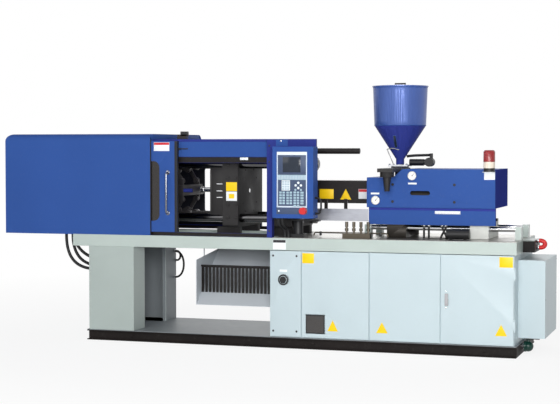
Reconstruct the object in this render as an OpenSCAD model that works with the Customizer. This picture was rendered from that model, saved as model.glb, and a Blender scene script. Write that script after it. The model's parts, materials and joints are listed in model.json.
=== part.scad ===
// Hydraulic injection moulding machine with a toggle clamp.
// +X runs from the clamp to the injection unit, -Y is the operator's side, +Z is up.
// The origin lies on the floor, on the centre line, below the fixed platen's mould face.

/* [Bed] */
// Height of the bed's beams above the floor
bed_h = 900; // [890:2:910]
// Width of the bed
bed_w = 1000; // [980:5:1040]
// Length of bed from the mould face to the clamp end
clamp_reach = 1730; // [1700:10:1760]
// Length of bed from the mould face to the injection end
nozzle_reach = 2055; // [2045:5:2100]
// Height of the bed's beams
beam_h = 100; // [90:5:110]
// Width of the bed's beams
beam_w = 90; // [80:5:100]
// Plate thickness of the beams and legs
beam_t = 6; // [5:1:8]
// Height of the black base channels
rail_h = 84; // [76:2:92]
// Flange width of the black base channels
rail_flange = 45; // [40:1:50]
// Thickness of the floor plate
floor_t = 6; // [4:1:8]
// Length of the clamp leg along the machine
leg_l = 413; // [390:5:430]
// Depth of the front clamp leg
leg_d = 236; // [220:4:250]
// Thickness of the cabinet's sheet metal
sheet_t = 3; // [2:0.5:4]
// Length of the narrow panel at the cabinet's clamp end
panel_1_l = 264; // [260:2:270]
// Length of the vented panel
panel_2_l = 560; // [550:2:570]
// Length of the plain panel
panel_3_l = 570; // [560:2:580]
// Gap between two panels
panel_gap = 8; // [6:1:10]

/* [Clamp] */
// Height of the tie bars' centre above the bed
axis_rise = 370; // [365:1:380]
// Distance between tie bars across the machine
bar_y = 470; // [460:2:480]
// Distance between tie bars up the machine
bar_z = 450; // [440:2:460]
// Tie bar radius
bar_r = 35; // [30:1:38]
// Side of the square platens
platen_s = 600; // [590:2:620]
// Thickness of the fixed platen
fixed_t = 170; // [160:2:180]
// Thickness of the moving platen
moving_t = 138; // [130:2:150]
// Thickness of the tail platen
tail_t = 150; // [140:2:160]
// Space between the platens as shown
daylight = 304; // [290:2:320]
// Rear toggle link, pin to pin
rear_link_l = 165; // [160:1:168]
// Front toggle link, pin to pin
front_link_l = 260; // [255:1:265]
// Height of the toggle pins above the axis
toggle_z = 210; // [208:1:214]
// Radius of the toggle pins
pin_r = 25; // [22:1:27]
// Crosshead link, pin to pin
cross_link_l = 105; // [104:1:107]

/* [Guards] */
// Height of the clamp casing
casing_h = 847; // [820:5:860]
// Length of the clamp casing
casing_l = 1357; // [1340:5:1380]
// Overhang of the casing behind the bed
casing_back = 190; // [180:5:210]
// Radius of the casing's folded edges
casing_r = 60; // [40:5:70]
// Visible reach of the open front door past the casing
door_show = 239; // [220:1:250]
// Travel of the front door
door_travel = 785; // [760:5:788]
// Length of the rear door
rear_door_l = 1060; // [1050:5:1080]
// Width of the operator box
box_w = 344; // [330:2:360]
// Height of the operator box
box_h = 576; // [560:2:590]
// Depth of the operator box
box_d = 125; // [110:1:130]

/* [Injection unit] */
// Place of the hopper's axis along the machine
throat_x = 1012; // [1000:2:1020]
// Place of the clamp end of the cover
cover_x = 806; // [800:2:812]
// Length of the covers
cover_l = 1047; // [1040:1:1052]
// Width of the upper cover
cover_w = 610; // [600:2:620]
// Height of the upper cover's bottom above the bed
cover_rise = 252; // [246:1:256]
// Height of the upper cover
cover_h = 311; // [306:1:316]
// Height of the lower cover
skirt_h = 138; // [130:1:140]
// Outer radius of the barrel
barrel_r = 60; // [55:1:64]
// Radius of the screw
screw_r = 20; // [18:1:22]
// Travel of the hopper to its drain spout
hopper_travel = 450; // [440:2:456]
// Radius of the hopper's rim
hopper_r = 225; // [210:1:230]
// Height of the hopper's cylinder
hopper_h = 322; // [310:2:340]
// Height of the hopper's cone
cone_h = 277; // [260:2:290]

/* [Fits] */
// Radial clearance of shafts in bores
run_fit = 0.05; // [0.02:0.01:0.09]
// Gap between faces that slide past each other
slide_gap = 0.3; // [0.2:0.1:0.5]

/* [Hidden] */
$fn = 48;

blue = [0.16, 0.27, 0.62];
dark_blue = [0.10, 0.13, 0.42];
pale_grey = [0.74, 0.80, 0.80];
panel_blue = [0.80, 0.87, 0.90];
black = [0.08, 0.08, 0.09];
steel = [0.66, 0.67, 0.69];

// Levels and lines that several pieces share
mid_z = bed_h + axis_rise;
base_top = rail_h + floor_t;
beam_z = bed_h - beam_h;
deck_t = 3;
deck_z = bed_h + deck_t;
half_w = bed_w / 2;
end_plate_t = 10;
cab_x0 = 43;
panel_inset = 6;
panel_y = -half_w + panel_inset;
panel_t = 14;
panel_x2 = cab_x0 + panel_1_l + panel_gap;
panel_x3 = panel_x2 + panel_2_l + panel_gap;
door_x = panel_x3 + panel_3_l + panel_gap;
cab_x1 = nozzle_reach - 18;
hinge_x = cab_x1 - 4;
slide_y = 200;
slide_w = 70;
strip_t = 12;
strip_z = bed_h + strip_t;
strip_x0 = -clamp_reach + 70;
strip_x1 = -20;

// The toggle's pins at rest, with the links in line
moving_x = -daylight;
moving_back = moving_x - moving_t;
front_pin_x = moving_back - 133;
rear_pin_x = front_pin_x - front_link_l - rear_link_l;
tail_x = rear_pin_x - 195;
third_r = 95;
third_a = 25;
cross_pin_z = 80;
third_x = rear_pin_x + third_r * cos(third_a);
third_z = toggle_z - third_r * sin(third_a);
cross_x = third_x + sqrt(pow(cross_link_l, 2) - pow(third_z - cross_pin_z, 2));
// The layers across the machine in which the links pass one another
front_layer = [55, 85];
rear_layer = [88, 118];
ear_layer = [121, 145];
cross_layer = [148, 172];
lug_layer = [175, 195];
eye_r = 36;
knee_r = 40;
ear_r = 35;

casing_x1 = -1014;
casing_x0 = casing_x1 - casing_l;
casing_t = 3;
guard_x0 = 17;
guard_x1 = 437;
guard_top = bed_h + 805;
rail_low = bed_h + 658;
door_bottom = deck_z + 28;
door_top = guard_top - 15;
door_x1 = casing_x1 + door_show;
door_x0 = door_x1 - door_travel - 275;
door_y = -half_w + 15;
door_d = 35;
window_low = bed_h + 122;
window_high = bed_h + 623;
box_x = 106;
box_z = bed_h + 168;
box_y = -half_w - box_d;

cover_z = bed_h + cover_rise;
cover_y0 = -300;
cover_y1 = cover_y0 + cover_w;
cover_x1 = cover_x + cover_l;
low_top = cover_z + cover_h - 69;
foot_x = 960;
foot_l = 160;
rear_foot_x = cover_x1 - 213;
rear_foot_l = 150;
front_plate_t = 150;
plate_top = low_top - 9;
guide_y = 190;
guide_r = 20;
guide_z = bed_h + 85;
slide_z0 = cover_z + 288;
slide_z1 = cover_z + 318;
throat_r = 34;
drain_r = 18;
drive_x = 1420;
drive_t = 60;
neck_r = 34;
flange_t = 15;
hopper_z0 = slide_z1 + slide_gap + 11 + flange_t;
cone_z = hopper_z0 + 45;
shoulder_z = cone_z + cone_h;
rim_z = shoulder_z + hopper_h;
shoulder_r = hopper_r - 12;

// A flat shape in Y and Z, drawn out along X
module along_x(x0, x1) {
    translate([x0, 0, 0]) rotate([90, 0, 90]) linear_extrude(x1 - x0) children();
}

// A flat shape in X and Z, drawn out along Y
module along_y(y0, y1) {
    translate([0, y1, 0]) rotate([90, 0, 0]) linear_extrude(y1 - y0) children();
}

// A flat shape in X and Y, drawn out along Z
module along_z(z0, z1) {
    translate([0, 0, z0]) linear_extrude(z1 - z0) children();
}

module rod_x(x0, x1, y, z, r) {
    translate([x0, y, z]) rotate([0, 90, 0]) cylinder(h = x1 - x0, r = r);
}

module rod_y(y0, y1, x, z, r) {
    translate([x, y0, z]) rotate([-90, 0, 0]) cylinder(h = y1 - y0, r = r);
}

module block(low, high) {
    translate(low) cube(high - low);
}

module rounded(low, high, r) {
    translate([low[0] + r, low[1]]) square([high[0] - low[0] - 2 * r, high[1] - low[1]]);
    translate([low[0], low[1] + r]) square([high[0] - low[0], high[1] - low[1] - 2 * r]);
    for (x = [low[0] + r, high[0] - r], y = [low[1] + r, high[1] - r]) translate([x, y]) circle(r);
}

module frame_2d(low, high, t) {
    difference() {
        translate(low) square(high - low);
        translate([low[0] + t, low[1] + t]) square([high[0] - low[0] - 2 * t, high[1] - low[1] - 2 * t]);
    }
}

module both_sides() {
    children();
    mirror([0, 1, 0]) children();
}

// A plate on each side of the centre line, in one of the link layers
module in_layer(layer) {
    both_sides() along_y(layer[0], layer[1]) children();
}

// A folded pan: a front sheet with returned edges, open at the back
module pan(x0, x1, z0, z1, y, depth, t) {
    difference() {
        block([x0, y, z0], [x1, y + depth, z1]);
        block([x0 + t, y + t, z0 + t], [x1 - t, y + depth + 1, z1 - t]);
    }
}

// Rings of points swept along a path that lies in a plane whose normal is side
function unit(v) = v / norm(v);
function heading(path, i) = unit(path[min(i + 1, len(path) - 1)] - path[max(i - 1, 0)]);
function bezier(p, n) = [for (i = [0:n]) let (t = i / n, s = 1 - t)
    s * s * s * p[0] + 3 * s * s * t * p[1] + 3 * s * t * t * p[2] + t * t * t * p[3]];
module hose(path, r, side, sides = 8) {
    points = [for (i = [0:len(path) - 1]) let (w = cross(heading(path, i), side))
        for (k = [0:sides - 1]) let (a = 360 * k / sides) path[i] + r * (cos(a) * side + sin(a) * w)];
    last = (len(path) - 1) * sides;
    faces = concat(
        [[for (k = [0:sides - 1]) k]],
        [for (i = [0:len(path) - 2], k = [0:sides - 1]) let (a = i * sides, b = (k + 1) % sides)
            [a + k, a + sides + k, a + sides + b, a + b]],
        [[for (k = [sides - 1:-1:0]) last + k]]);
    polyhedron(points, faces);
}

// Bed

base_x0 = -clamp_reach + 130;
base_t = 8;
anchor_r = 9;
anchor_in = 100;
cross_member_w = 60;
module base_rail() {
    difference() {
        along_x(base_x0, nozzle_reach) translate([-half_w, 0]) difference() {
            square([rail_flange, rail_h]);
            translate([-1, base_t]) square([rail_flange - base_t + 1, rail_h - 2 * base_t]);
        }
        for (x = [base_x0 + anchor_in, nozzle_reach - anchor_in])
            translate([x, -half_w + rail_flange / 2 - base_t / 2, -1])
                cylinder(h = base_t + 2, r = anchor_r);
    }
}
module base_frame() {
    color(black) {
        both_sides() base_rail();
        for (x = [base_x0, -cross_member_w / 2, cab_x1 - 700, nozzle_reach - cross_member_w])
            block([x, -half_w + rail_flange, 0], [x + cross_member_w, half_w - rail_flange, rail_h]);
    }
}

module floor_plate() {
    color(pale_grey) block([base_x0, -half_w + 2, rail_h], [nozzle_reach, half_w - 2, base_top]);
}

leg_x = -clamp_reach + 150;
rear_leg_y = 205;
rear_leg_d = 245;
leg_lip = 30;
module clamp_legs() {
    color(pale_grey) {
        along_z(base_top, beam_z) frame_2d([leg_x, -half_w], [leg_x + leg_l, -half_w + leg_d], beam_t);
        along_z(base_top, beam_z) difference() {
            translate([leg_x, rear_leg_y]) square([leg_l, rear_leg_d]);
            translate([leg_x + beam_t, rear_leg_y + beam_t])
                square([leg_l - 2 * beam_t, rear_leg_d - 2 * beam_t]);
            translate([leg_x + leg_lip, rear_leg_y - 1]) square([leg_l - 2 * leg_lip, beam_t + 2]);
        }
    }
}

// Channel beams, open towards the middle and closed by end plates
module side_beam() {
    along_x(-clamp_reach, nozzle_reach) translate([-half_w, beam_z]) difference() {
        square([beam_w, beam_h]);
        translate([beam_t, beam_t]) square([beam_w, beam_h - 2 * beam_t]);
    }
    for (x = [-clamp_reach, nozzle_reach - end_plate_t])
        block([x, -half_w, beam_z], [x + end_plate_t, -half_w + beam_w, bed_h]);
}
module bed_frame() {
    inner = half_w - beam_w;
    color(pale_grey) {
        both_sides() side_beam();
        for (x = [-clamp_reach, strip_x1 - 10, cab_x1 - 900, nozzle_reach - cross_member_w])
            along_x(x, x + cross_member_w) translate([-inner, beam_z]) difference() {
                square([2 * inner, beam_h]);
                translate([-1, -1]) square([2 * inner + 2, beam_h - beam_t + 1]);
            }
        for (x = [-clamp_reach, nozzle_reach - end_plate_t])
            block([x, -inner, beam_z], [x + end_plate_t, inner, bed_h - beam_t]);
    }
    color(steel) both_sides() {
        block([strip_x0 - 10, slide_y, beam_z + 20], [fixed_t, slide_y + slide_w, bed_h]);
        block([strip_x0, slide_y, bed_h], [strip_x1, slide_y + slide_w, strip_z]);
    }
}

deck_x0 = guard_x0 + 47;
slot_x0 = foot_x + 290;
slot_x1 = rear_foot_x;
slot_y = [-230, -110];
module bed_deck() {
    color(steel) difference() {
        block([deck_x0, -half_w + 5, bed_h], [nozzle_reach - 5, half_w - 5, deck_z]);
        block([deck_x0 - 1, -platen_s / 2 - 10, bed_h - 1], [fixed_t + 10, platen_s / 2 + 10, deck_z + 1]);
        block([slot_x0, slot_y[0], bed_h - 1], [slot_x1, slot_y[1], deck_z + 1]);
    }
}

chute_x0 = -641;
chute_front = -400;
chute_rear = 146;
chute_low = 320;
chute_lip = 696;
gate_y = -290;
gate_z = 640;
gate_pin_r = 8;
function chute_floor(y) = chute_low + 0.8 * (y - chute_front);
module chute_side() {
    polygon([[chute_front, chute_low], [chute_rear, chute_floor(chute_rear)], [chute_front, chute_lip]]);
}
module chute() {
    color(pale_grey) {
        difference() {
            union() {
                along_x(chute_x0, chute_x0 + sheet_t) chute_side();
                along_x(cab_x0 - sheet_t, cab_x0) chute_side();
            }
            rod_x(chute_x0 - 1, cab_x0 + 1, gate_y, gate_z, gate_pin_r + run_fit);
        }
        along_x(chute_x0 + sheet_t, cab_x0 - sheet_t) polygon([
            [chute_front, chute_low], [chute_rear, chute_floor(chute_rear)],
            [chute_rear, chute_floor(chute_rear) + 4], [chute_front, chute_low + 4]]);
        block([chute_x0 - 4, -slide_y - 15, gate_z], [chute_x0, -slide_y, beam_z + 20]);
    }
    color(steel) rod_x(chute_x0 - 20, chute_x0, gate_y - 30, 455, 6);
}

cab_y = half_w - 20;
post_lap = 6;
pivot = [hinge_x + 8, -half_w + 12];
pivot_r = 4;
hinge_h = 100;
hinge_zs = [200, 600];
vent_x = panel_x2 + 32;
vent_s = 164;
vent_z = 127;
cap_x = cab_x0 + 117;
cap_z = base_top + 470;
tank_top = 500;
tank_y0 = -400;
tank_x1 = door_x - panel_gap;
module cabinet_shell() {
    color(panel_blue) {
        difference() {
            block([cab_x0, -cab_y, base_top], [cab_x1, cab_y, beam_z]);
            block([cab_x0 + sheet_t, -cab_y - 1, base_top + sheet_t],
                [panel_x2 - panel_gap, cab_y - sheet_t, beam_z + 1]);
            block([panel_x2 - panel_gap + sheet_t, -cab_y - 1, base_top + sheet_t],
                [tank_x1, tank_y0, beam_z + 1]);
            block([panel_x2 - panel_gap + sheet_t, tank_y0 - 1, tank_top],
                [tank_x1, cab_y - sheet_t, beam_z + 1]);
            block([panel_x2 - panel_gap + sheet_t, tank_y0 + sheet_t, base_top + sheet_t],
                [tank_x1, cab_y - sheet_t, tank_top - sheet_t]);
            block([tank_x1 + sheet_t, -cab_y - 1, base_top + sheet_t],
                [cab_x1 - sheet_t, cab_y - sheet_t, beam_z + 1]);
            translate([panel_x2 + 200, 250, tank_top - sheet_t - 1]) cylinder(h = sheet_t + 2, r = 40);
        }
        // Posts behind the joints between the panels
        for (x = [panel_x2, panel_x3, door_x])
            block([x - panel_gap - post_lap, -cab_y, base_top], [x + post_lap, -cab_y + 12, beam_z]);
        // Hinge pins of the cabinet door, held at both ends
        for (z = hinge_zs) {
            translate([pivot[0], pivot[1], z]) cylinder(h = hinge_h, r = pivot_r);
            for (end = [z, z + hinge_h - 12])
                block([cab_x1 - 2, pivot[1] - 4, end], [pivot[0] + 4, -cab_y, end + 12]);
        }
    }
}

module front_panel(x, l) {
    pan(x, x + l, base_top + 5, beam_z - 5, panel_y, panel_t, sheet_t);
}
module cover_panels() {
    color(panel_blue) {
        front_panel(cab_x0, panel_1_l);
        front_panel(panel_x3, panel_3_l);
        difference() {
            front_panel(panel_x2, panel_2_l);
            for (i = [0:7]) block([vent_x, panel_y - 1, vent_z + i * vent_s / 8],
                [vent_x + vent_s, panel_y + sheet_t + 1, vent_z + (i + 0.7) * vent_s / 8]);
        }
        for (x = [cab_x0 + 20, cab_x0 + 20 + (cab_x1 - cab_x0) / 3, cab_x0 + 20 + 2 * (cab_x1 - cab_x0) / 3])
            mirror([0, 1, 0]) pan(x, x + (cab_x1 - cab_x0) / 3 - 40, base_top + 5, beam_z - 5,
                -cab_y - panel_t, panel_t, sheet_t);
    }
    color(black) {
        rod_y(panel_y - 14, panel_y, cap_x, cap_z, 46);
        rod_y(panel_y - 22, panel_y - 14, cap_x, cap_z, 30);
    }
}

motor_x = panel_x2 + 445;
motor_r = 115;
motor_z = tank_top + 18 + motor_r;
module pump_motor() {
    color(dark_blue) {
        difference() {
            rod_x(motor_x, motor_x + 360, 60, motor_z, motor_r);
            for (a = [0:15:345]) translate([0, 60, motor_z]) rotate([a, 0, 0])
                block([motor_x + 30, motor_r - 10, -3], [motor_x + 330, motor_r + 1, 3]);
        }
        rod_x(motor_x + 360, motor_x + 430, 60, motor_z, 70);
        rod_x(motor_x + 430, motor_x + 560, 60, motor_z, 55);
        block([motor_x + 60, -60, tank_top], [motor_x + 300, 180, tank_top + 40]);
    }
}

// Switchgear in three rows on a mounting plate
plate_y = 100;
plate_in = 60;
gear_d = 70;
gear_h = 90;
gear_rise = 170;
gear_pitch = (cab_x1 - door_x - 2 * plate_in - 44) / 6;
module electrics_plate() {
    color(steel) block([door_x + plate_in, plate_y, base_top + sheet_t],
        [cab_x1 - plate_in, plate_y + sheet_t, beam_z - plate_in]);
    color(black) for (i = [0:5], j = [1:3]) let (x = door_x + plate_in + 30 + i * gear_pitch)
        block([x, plate_y - gear_d, base_top + j * gear_rise],
            [x + 0.78 * gear_pitch, plate_y, base_top + j * gear_rise + gear_h]);
}

end_x1 = nozzle_reach + 195;
end_y = [-half_w + 200, half_w - 112];
end_z = [base_top + 45, beam_z - 49];
module end_cabinet() {
    color(panel_blue) difference() {
        block([cab_x1, end_y[0], end_z[0]], [end_x1, end_y[1], end_z[1]]);
        block([cab_x1 - 1, end_y[0] + sheet_t, end_z[0] + sheet_t],
            [end_x1 - sheet_t, end_y[1] - sheet_t, end_z[1] - sheet_t]);
    }
}

module end_box() {
    color(black) block([nozzle_reach, -180, beam_z + 4], [nozzle_reach + 95, 100, bed_h - 8]);
    color(pale_grey) block([nozzle_reach, -190, bed_h - 8], [nozzle_reach + 95, 110, bed_h]);
}

valve_x = nozzle_reach + 50;
valve_y = -200;
valve_z = 60;
valve_r = 42;
stem_h = 56;
lever_z = valve_z + stem_h + slide_gap;
module drain_valve() {
    color([0.05, 0.22, 0.17]) {
        translate([valve_x, valve_y, valve_z]) sphere(valve_r);
        translate([valve_x, valve_y, valve_z]) cylinder(h = stem_h, r = 14);
        rod_x(valve_x - 30, valve_x - 15, valve_y, valve_z, valve_r + 2);
    }
    color(steel) rod_x(nozzle_reach, valve_x - 30, valve_y, valve_z, 24);
}
module drain_lever() {
    color(black) difference() {
        union() {
            translate([valve_x, valve_y, lever_z]) cylinder(h = 12, r = 20);
            block([valve_x, valve_y - 10, lever_z], [valve_x + 90, valve_y + 10, lever_z + 11.7]);
        }
        translate([valve_x, valve_y, lever_z - 6]) cylinder(h = 9, r = 10);
    }
}

// Guards

module casing_2d(grow) {
    top = deck_z + casing_h - grow;
    y0 = -half_w + grow;
    y1 = half_w + casing_back - grow;
    r = casing_r - grow;
    translate([y0, bed_h - grow]) square([y1 - y0, top - r - bed_h + grow]);
    translate([y0 + r, bed_h - grow]) square([y1 - y0 - 2 * r, top - bed_h + grow]);
    for (y = [y0 + r, y1 - r]) translate([y, top - r]) circle(r);
}
module casing_side_2d(grow) {
    top = deck_z + casing_h - grow;
    x0 = casing_x0 + grow;
    r = casing_r - grow;
    translate([x0, bed_h - grow]) square([casing_x1 + 1 - x0, top - r - bed_h + grow]);
    translate([x0 + r, bed_h - grow]) square([casing_x1 + 1 - x0 - r, top - bed_h + grow]);
    translate([x0 + r, top - r]) circle(r);
}
module casing_solid(grow, x1) {
    intersection() {
        along_x(casing_x0 + grow, x1) casing_2d(grow);
        along_y(-half_w + grow, half_w + casing_back - grow) casing_side_2d(grow);
    }
}
hose_gap = [-355, -210];
module clamp_casing() {
    lip = casing_back - 50;
    color(blue) {
        difference() {
            casing_solid(0, casing_x1);
            casing_solid(casing_t, casing_x1 + 1);
        }
        // Floor below the overhang, with a gap that the hoses pass
        difference() {
            block([casing_x0, -half_w, bed_h - casing_t], [-clamp_reach - 2, half_w + casing_back, bed_h]);
            block([hose_x - 30, hose_gap[0], bed_h - casing_t - 1], [hose_x + 130, hose_gap[1], bed_h + 1]);
        }
        block([-clamp_reach - 2, half_w + lip, bed_h - casing_t], [casing_x1, half_w + casing_back, bed_h]);
        // Foot that rests on the front beam
        block([-clamp_reach - 32, -half_w, bed_h], [casing_x1, door_y + 3, bed_h + casing_t]);
    }
}

post_w = 44;
top_rail_y = [-half_w + 55, -half_w + 95];
rear_rail_y = [half_w + 50, half_w + 90];
rear_door_y = [half_w + 95, half_w + 130];
// Limit switch of the front door, on the top rail
switch_x = casing_x1 + 219;
switch_l = 90;
module guard_frame() {
    color(blue) {
        // Posts at both sides of the mould space
        block([guard_x0, -half_w, bed_h], [guard_x0 + post_w, -half_w + 60, guard_top]);
        block([guard_x0, half_w + 50, bed_h - 60], [guard_x0 + post_w, half_w + 130, guard_top]);
        block([guard_x0, half_w, bed_h - 60], [guard_x0 + post_w, half_w + 50, bed_h - 10]);
        // Top rails that the doors run along
        block([casing_x1 - 300, top_rail_y[0], rail_low], [guard_x0, top_rail_y[1], guard_top]);
        block([casing_x1 - 300, rear_rail_y[0], rail_low - 100], [guard_x0, rear_rail_y[1], guard_top]);
        // Fixed guard behind the operator box, folded back at its end
        block([guard_x0 + post_w, -half_w, box_z], [guard_x1, -half_w + sheet_t, guard_top]);
        block([guard_x1 - sheet_t, -half_w, box_z], [guard_x1, -half_w + 25, guard_top]);
        // Cross rail over the fixed platen
        block([guard_x0, -half_w + 60, guard_top - 40], [guard_x0 + post_w, half_w + 50, guard_top]);
    }
    color(black) {
        block([door_x0, door_y + 5, deck_z - deck_t],
            [guard_x0, door_y + door_d - 5, door_bottom - slide_gap]);
        block([casing_x1 - 460, rear_door_y[0] + 5, door_bottom - 30],
            [guard_x0, rear_door_y[1] - 5, door_bottom - slide_gap]);
        block([casing_x1 - 460, half_w, bed_h - 60],
            [casing_x1 - 400, rear_door_y[1] - 5, door_bottom - 30]);
        block([-60, half_w, bed_h - 60], [guard_x0, rear_door_y[1] - 5, door_bottom - 30]);
        block([casing_x1, top_rail_y[0] + 10, rail_low - 49], [guard_x0, top_rail_y[1], rail_low]);
        block([switch_x, top_rail_y[0] + 5, guard_top],
            [switch_x + switch_l, top_rail_y[1] - 5, guard_top + 40]);
    }
}

window_x0 = door_x0 + 130;
window_x1 = door_x1 - 160;
module front_door() {
    color(blue) difference() {
        pan(door_x0, door_x1 - 26, door_bottom, door_top, door_y, door_d, sheet_t);
        along_y(door_y - 1, door_y + sheet_t + 1)
            rounded([window_x0, window_low], [window_x1, window_high], 55);
    }
    color(black) block([door_x1 - 26, door_y, door_bottom], [door_x1, door_y + door_d, door_top]);
}
module door_window() {
    color([0.1, 0.1, 0.1, 0.7]) block([window_x0 - 15, door_y + sheet_t, window_low - 15],
        [window_x1 + 15, door_y + sheet_t + 5, window_high + 15]);
}
handle_x = door_x1 - 92;
handle_z = bed_h + 170;
handle_l = 375;
module door_handle() {
    color(steel) {
        translate([handle_x, door_y - 45, handle_z]) cylinder(h = handle_l, r = 14);
        for (z = [handle_z + 15, handle_z + handle_l - 15]) rod_y(door_y - 45, door_y, handle_x, z, 10);
    }
}
rear_door_x1 = -405;
rear_door_x0 = rear_door_x1 - rear_door_l;
module rear_door() {
    color(dark_blue) mirror([0, 1, 0]) difference() {
        pan(rear_door_x0, rear_door_x1, door_bottom, door_top - 30, -rear_door_y[1],
            rear_door_y[1] - rear_door_y[0], sheet_t);
        along_y(-rear_door_y[1] - 1, -rear_door_y[1] + sheet_t + 1)
            rounded([rear_door_x0 + 510, window_low + 20], [rear_door_x1 - 204, window_high - 60], 40);
    }
}

// Operator box, with its keypad and stop button
screen = [91, 369, 240, 492];
module control_box() {
    color(blue) difference() {
        block([box_x, box_y, box_z], [box_x + box_w, -half_w, box_z + box_h]);
        block([box_x + 3, box_y + 3, box_z + 3], [box_x + box_w - 3, -half_w + 1, box_z + box_h - 3]);
        rod_y(box_y - 1, box_y + 4, box_x + 261, box_z + 61, 12 + run_fit);
    }
}
panel_low = [box_x + 39, box_z + 87];
module key_rows(x, z, cols, rows, dx, dz, w, h) {
    for (i = [0:cols - 1], j = [0:rows - 1])
        block([x + i * dx, box_y - 6, z + j * dz], [x + i * dx + w, box_y - 4, z + j * dz + h]);
}
module control_panel() {
    color(black) difference() {
        block([panel_low[0], box_y - 4, panel_low[1]], [panel_low[0] + 254, box_y, panel_low[1] + 447]);
        block([box_x + screen[0], box_y - 5, box_z + 369], [box_x + screen[2], box_y - 2, box_z + 492]);
    }
    color([0.7, 0.8, 0.85]) {
        key_rows(panel_low[0] + 10, panel_low[1] + 224, 10, 1, 24, 1, 18, 28);
        key_rows(panel_low[0] + 38, panel_low[1] + 140, 3, 4, 22, 20, 18, 15);
        key_rows(panel_low[0] + 22, panel_low[1] + 26, 2, 5, 27, 20, 20, 14);
        key_rows(panel_low[0] + 82, panel_low[1] + 26, 2, 5, 27, 20, 20, 14);
        key_rows(panel_low[0] + 142, panel_low[1] + 6, 2, 6, 27, 20, 20, 14);
        key_rows(panel_low[0] + 200, panel_low[1] + 26, 1, 5, 27, 20, 24, 14);
        for (a = [0:90:270]) rod_y(box_y - 6, box_y - 4,
            panel_low[0] + 180 + 26 * cos(a), panel_low[1] + 180 + 22 * sin(a), 10);
    }
}
module emergency_stop() {
    color([0.85, 0.1, 0.1]) {
        rod_y(box_y - 34, box_y - 14, box_x + 261, box_z + 61, 28);
        rod_y(box_y - 14, box_y + 12, box_x + 261, box_z + 61, 12);
    }
}

// Grease pump with its arm, below the operator box, and the oil filter below the covers
pump_x = 255;
pump_y = -400;
filter_x = rear_foot_x - 175;
filter_y = -300;
filter_r = 40;
module grease_pump() {
    color(black) {
        block([pump_x - 60, pump_y - 45, deck_z], [pump_x + 60, pump_y + 45, deck_z + 30]);
        translate([pump_x, pump_y, deck_z + 30]) cylinder(h = 102, r = 40);
        block([pump_x - 55, pump_y - 30, deck_z + 132], [pump_x + 185, pump_y + 30, deck_z + 148]);
        rod_x(filter_x, filter_x + 185, filter_y, deck_z + filter_r + 2, filter_r);
        for (x = [filter_x + 25, filter_x + 140])
            block([x, filter_y - 30, deck_z], [x + 20, filter_y + 30, deck_z + 30]);
    }
}

// Clamp

mould_grid = [[175, 105], [105, 175]];
mould_hole_r = 8;
module platen_2d() {
    h = platen_s / 2;
    difference() {
        rounded([-h, mid_z - h], [h, mid_z + h], 20);
        for (y = [-bar_y / 2, bar_y / 2], z = [-bar_z / 2, bar_z / 2])
            translate([y, mid_z + z]) circle(bar_r + run_fit);
    }
}
module mould_holes(x0, x1) {
    for (g = mould_grid, y = [-g[0], g[0]], z = [-g[1], g[1]]) rod_x(x0, x1, y, mid_z + z, mould_hole_r);
}
locating_r = 50;
locating_d = 25;
bar_block_z = mid_z + platen_s / 2;
safety_y = -150;
safety_r = 24;
safety_z = bar_block_z + 37;
safety_out = 538;
module stationary_platen() {
    color(dark_blue) difference() {
        union() {
            along_x(0, fixed_t) platen_2d();
            both_sides() block([0, slide_y, bed_h], [fixed_t, slide_y + slide_w, mid_z - platen_s / 2]);
            block([40, safety_y - 50, bar_block_z - 1], [fixed_t - 20, safety_y + 50, bar_block_z + 75]);
        }
        mould_holes(-1, 35);
        rod_x(-1, locating_d, 0, mid_z, locating_r);
        rod_x(locating_d - 1, 60, 0, mid_z, 36);
        translate([60 - 1, 0, mid_z]) rotate([0, 90, 0]) cylinder(h = fixed_t - 60 + 2, r1 = 36, r2 = 90);
        rod_x(0, fixed_t, safety_y, safety_z, safety_r + 1);
    }
}
nut_t = 60;
nut_r = 62;
bar_x0 = tail_x - tail_t - 200;
module tie_bars() {
    color(steel) for (y = [-bar_y / 2, bar_y / 2], z = [-bar_z / 2, bar_z / 2]) {
        rod_x(bar_x0, fixed_t + nut_t + 15, y, mid_z + z, bar_r);
        translate([fixed_t, y, mid_z + z]) rotate([0, 90, 0]) cylinder(h = nut_t, r = nut_r, $fn = 8);
    }
}

shoe_t = 60;
module platen_shoes(x0, x1) {
    both_sides() block([x0, slide_y, strip_z + slide_gap], [x1, slide_y + slide_w, mid_z - platen_s / 2]);
}
eject_rod_r = 18;
module platen_ear(z, x_plate, x_pin, r) {
    translate([x_pin, mid_z + z]) circle(r);
    polygon([[x_plate, mid_z + z - r - 20], [x_pin, mid_z + z - r], [x_pin, mid_z + z + r],
        [x_plate, mid_z + z + r + 20]]);
}
module moving_platen() {
    color([0.12, 0.12, 0.14]) difference() {
        union() {
            along_x(moving_back, moving_x) platen_2d();
            platen_shoes(moving_back - 60, moving_x);
            in_layer(rear_layer) for (z = [-toggle_z, toggle_z])
                platen_ear(z, moving_back, front_pin_x, knee_r);
            block([moving_back, safety_y - 40, bar_block_z - 1],
                [moving_back + 90, safety_y + 40, safety_z + 40]);
        }
        for (z = [-toggle_z, toggle_z]) rod_y(-200, 200, front_pin_x, mid_z + z, pin_r + run_fit);
        mould_holes(moving_x - 35, moving_x + 1);
        rod_x(moving_back - 1, moving_x + 1, 0, mid_z, eject_rod_r + run_fit);
        rod_x(moving_back - 1, moving_x, safety_y, safety_z, safety_r);
    }
}
module safety_bar() {
    color(black) rod_x(moving_back, fixed_t + safety_out, safety_y, safety_z, safety_r);
}

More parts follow.
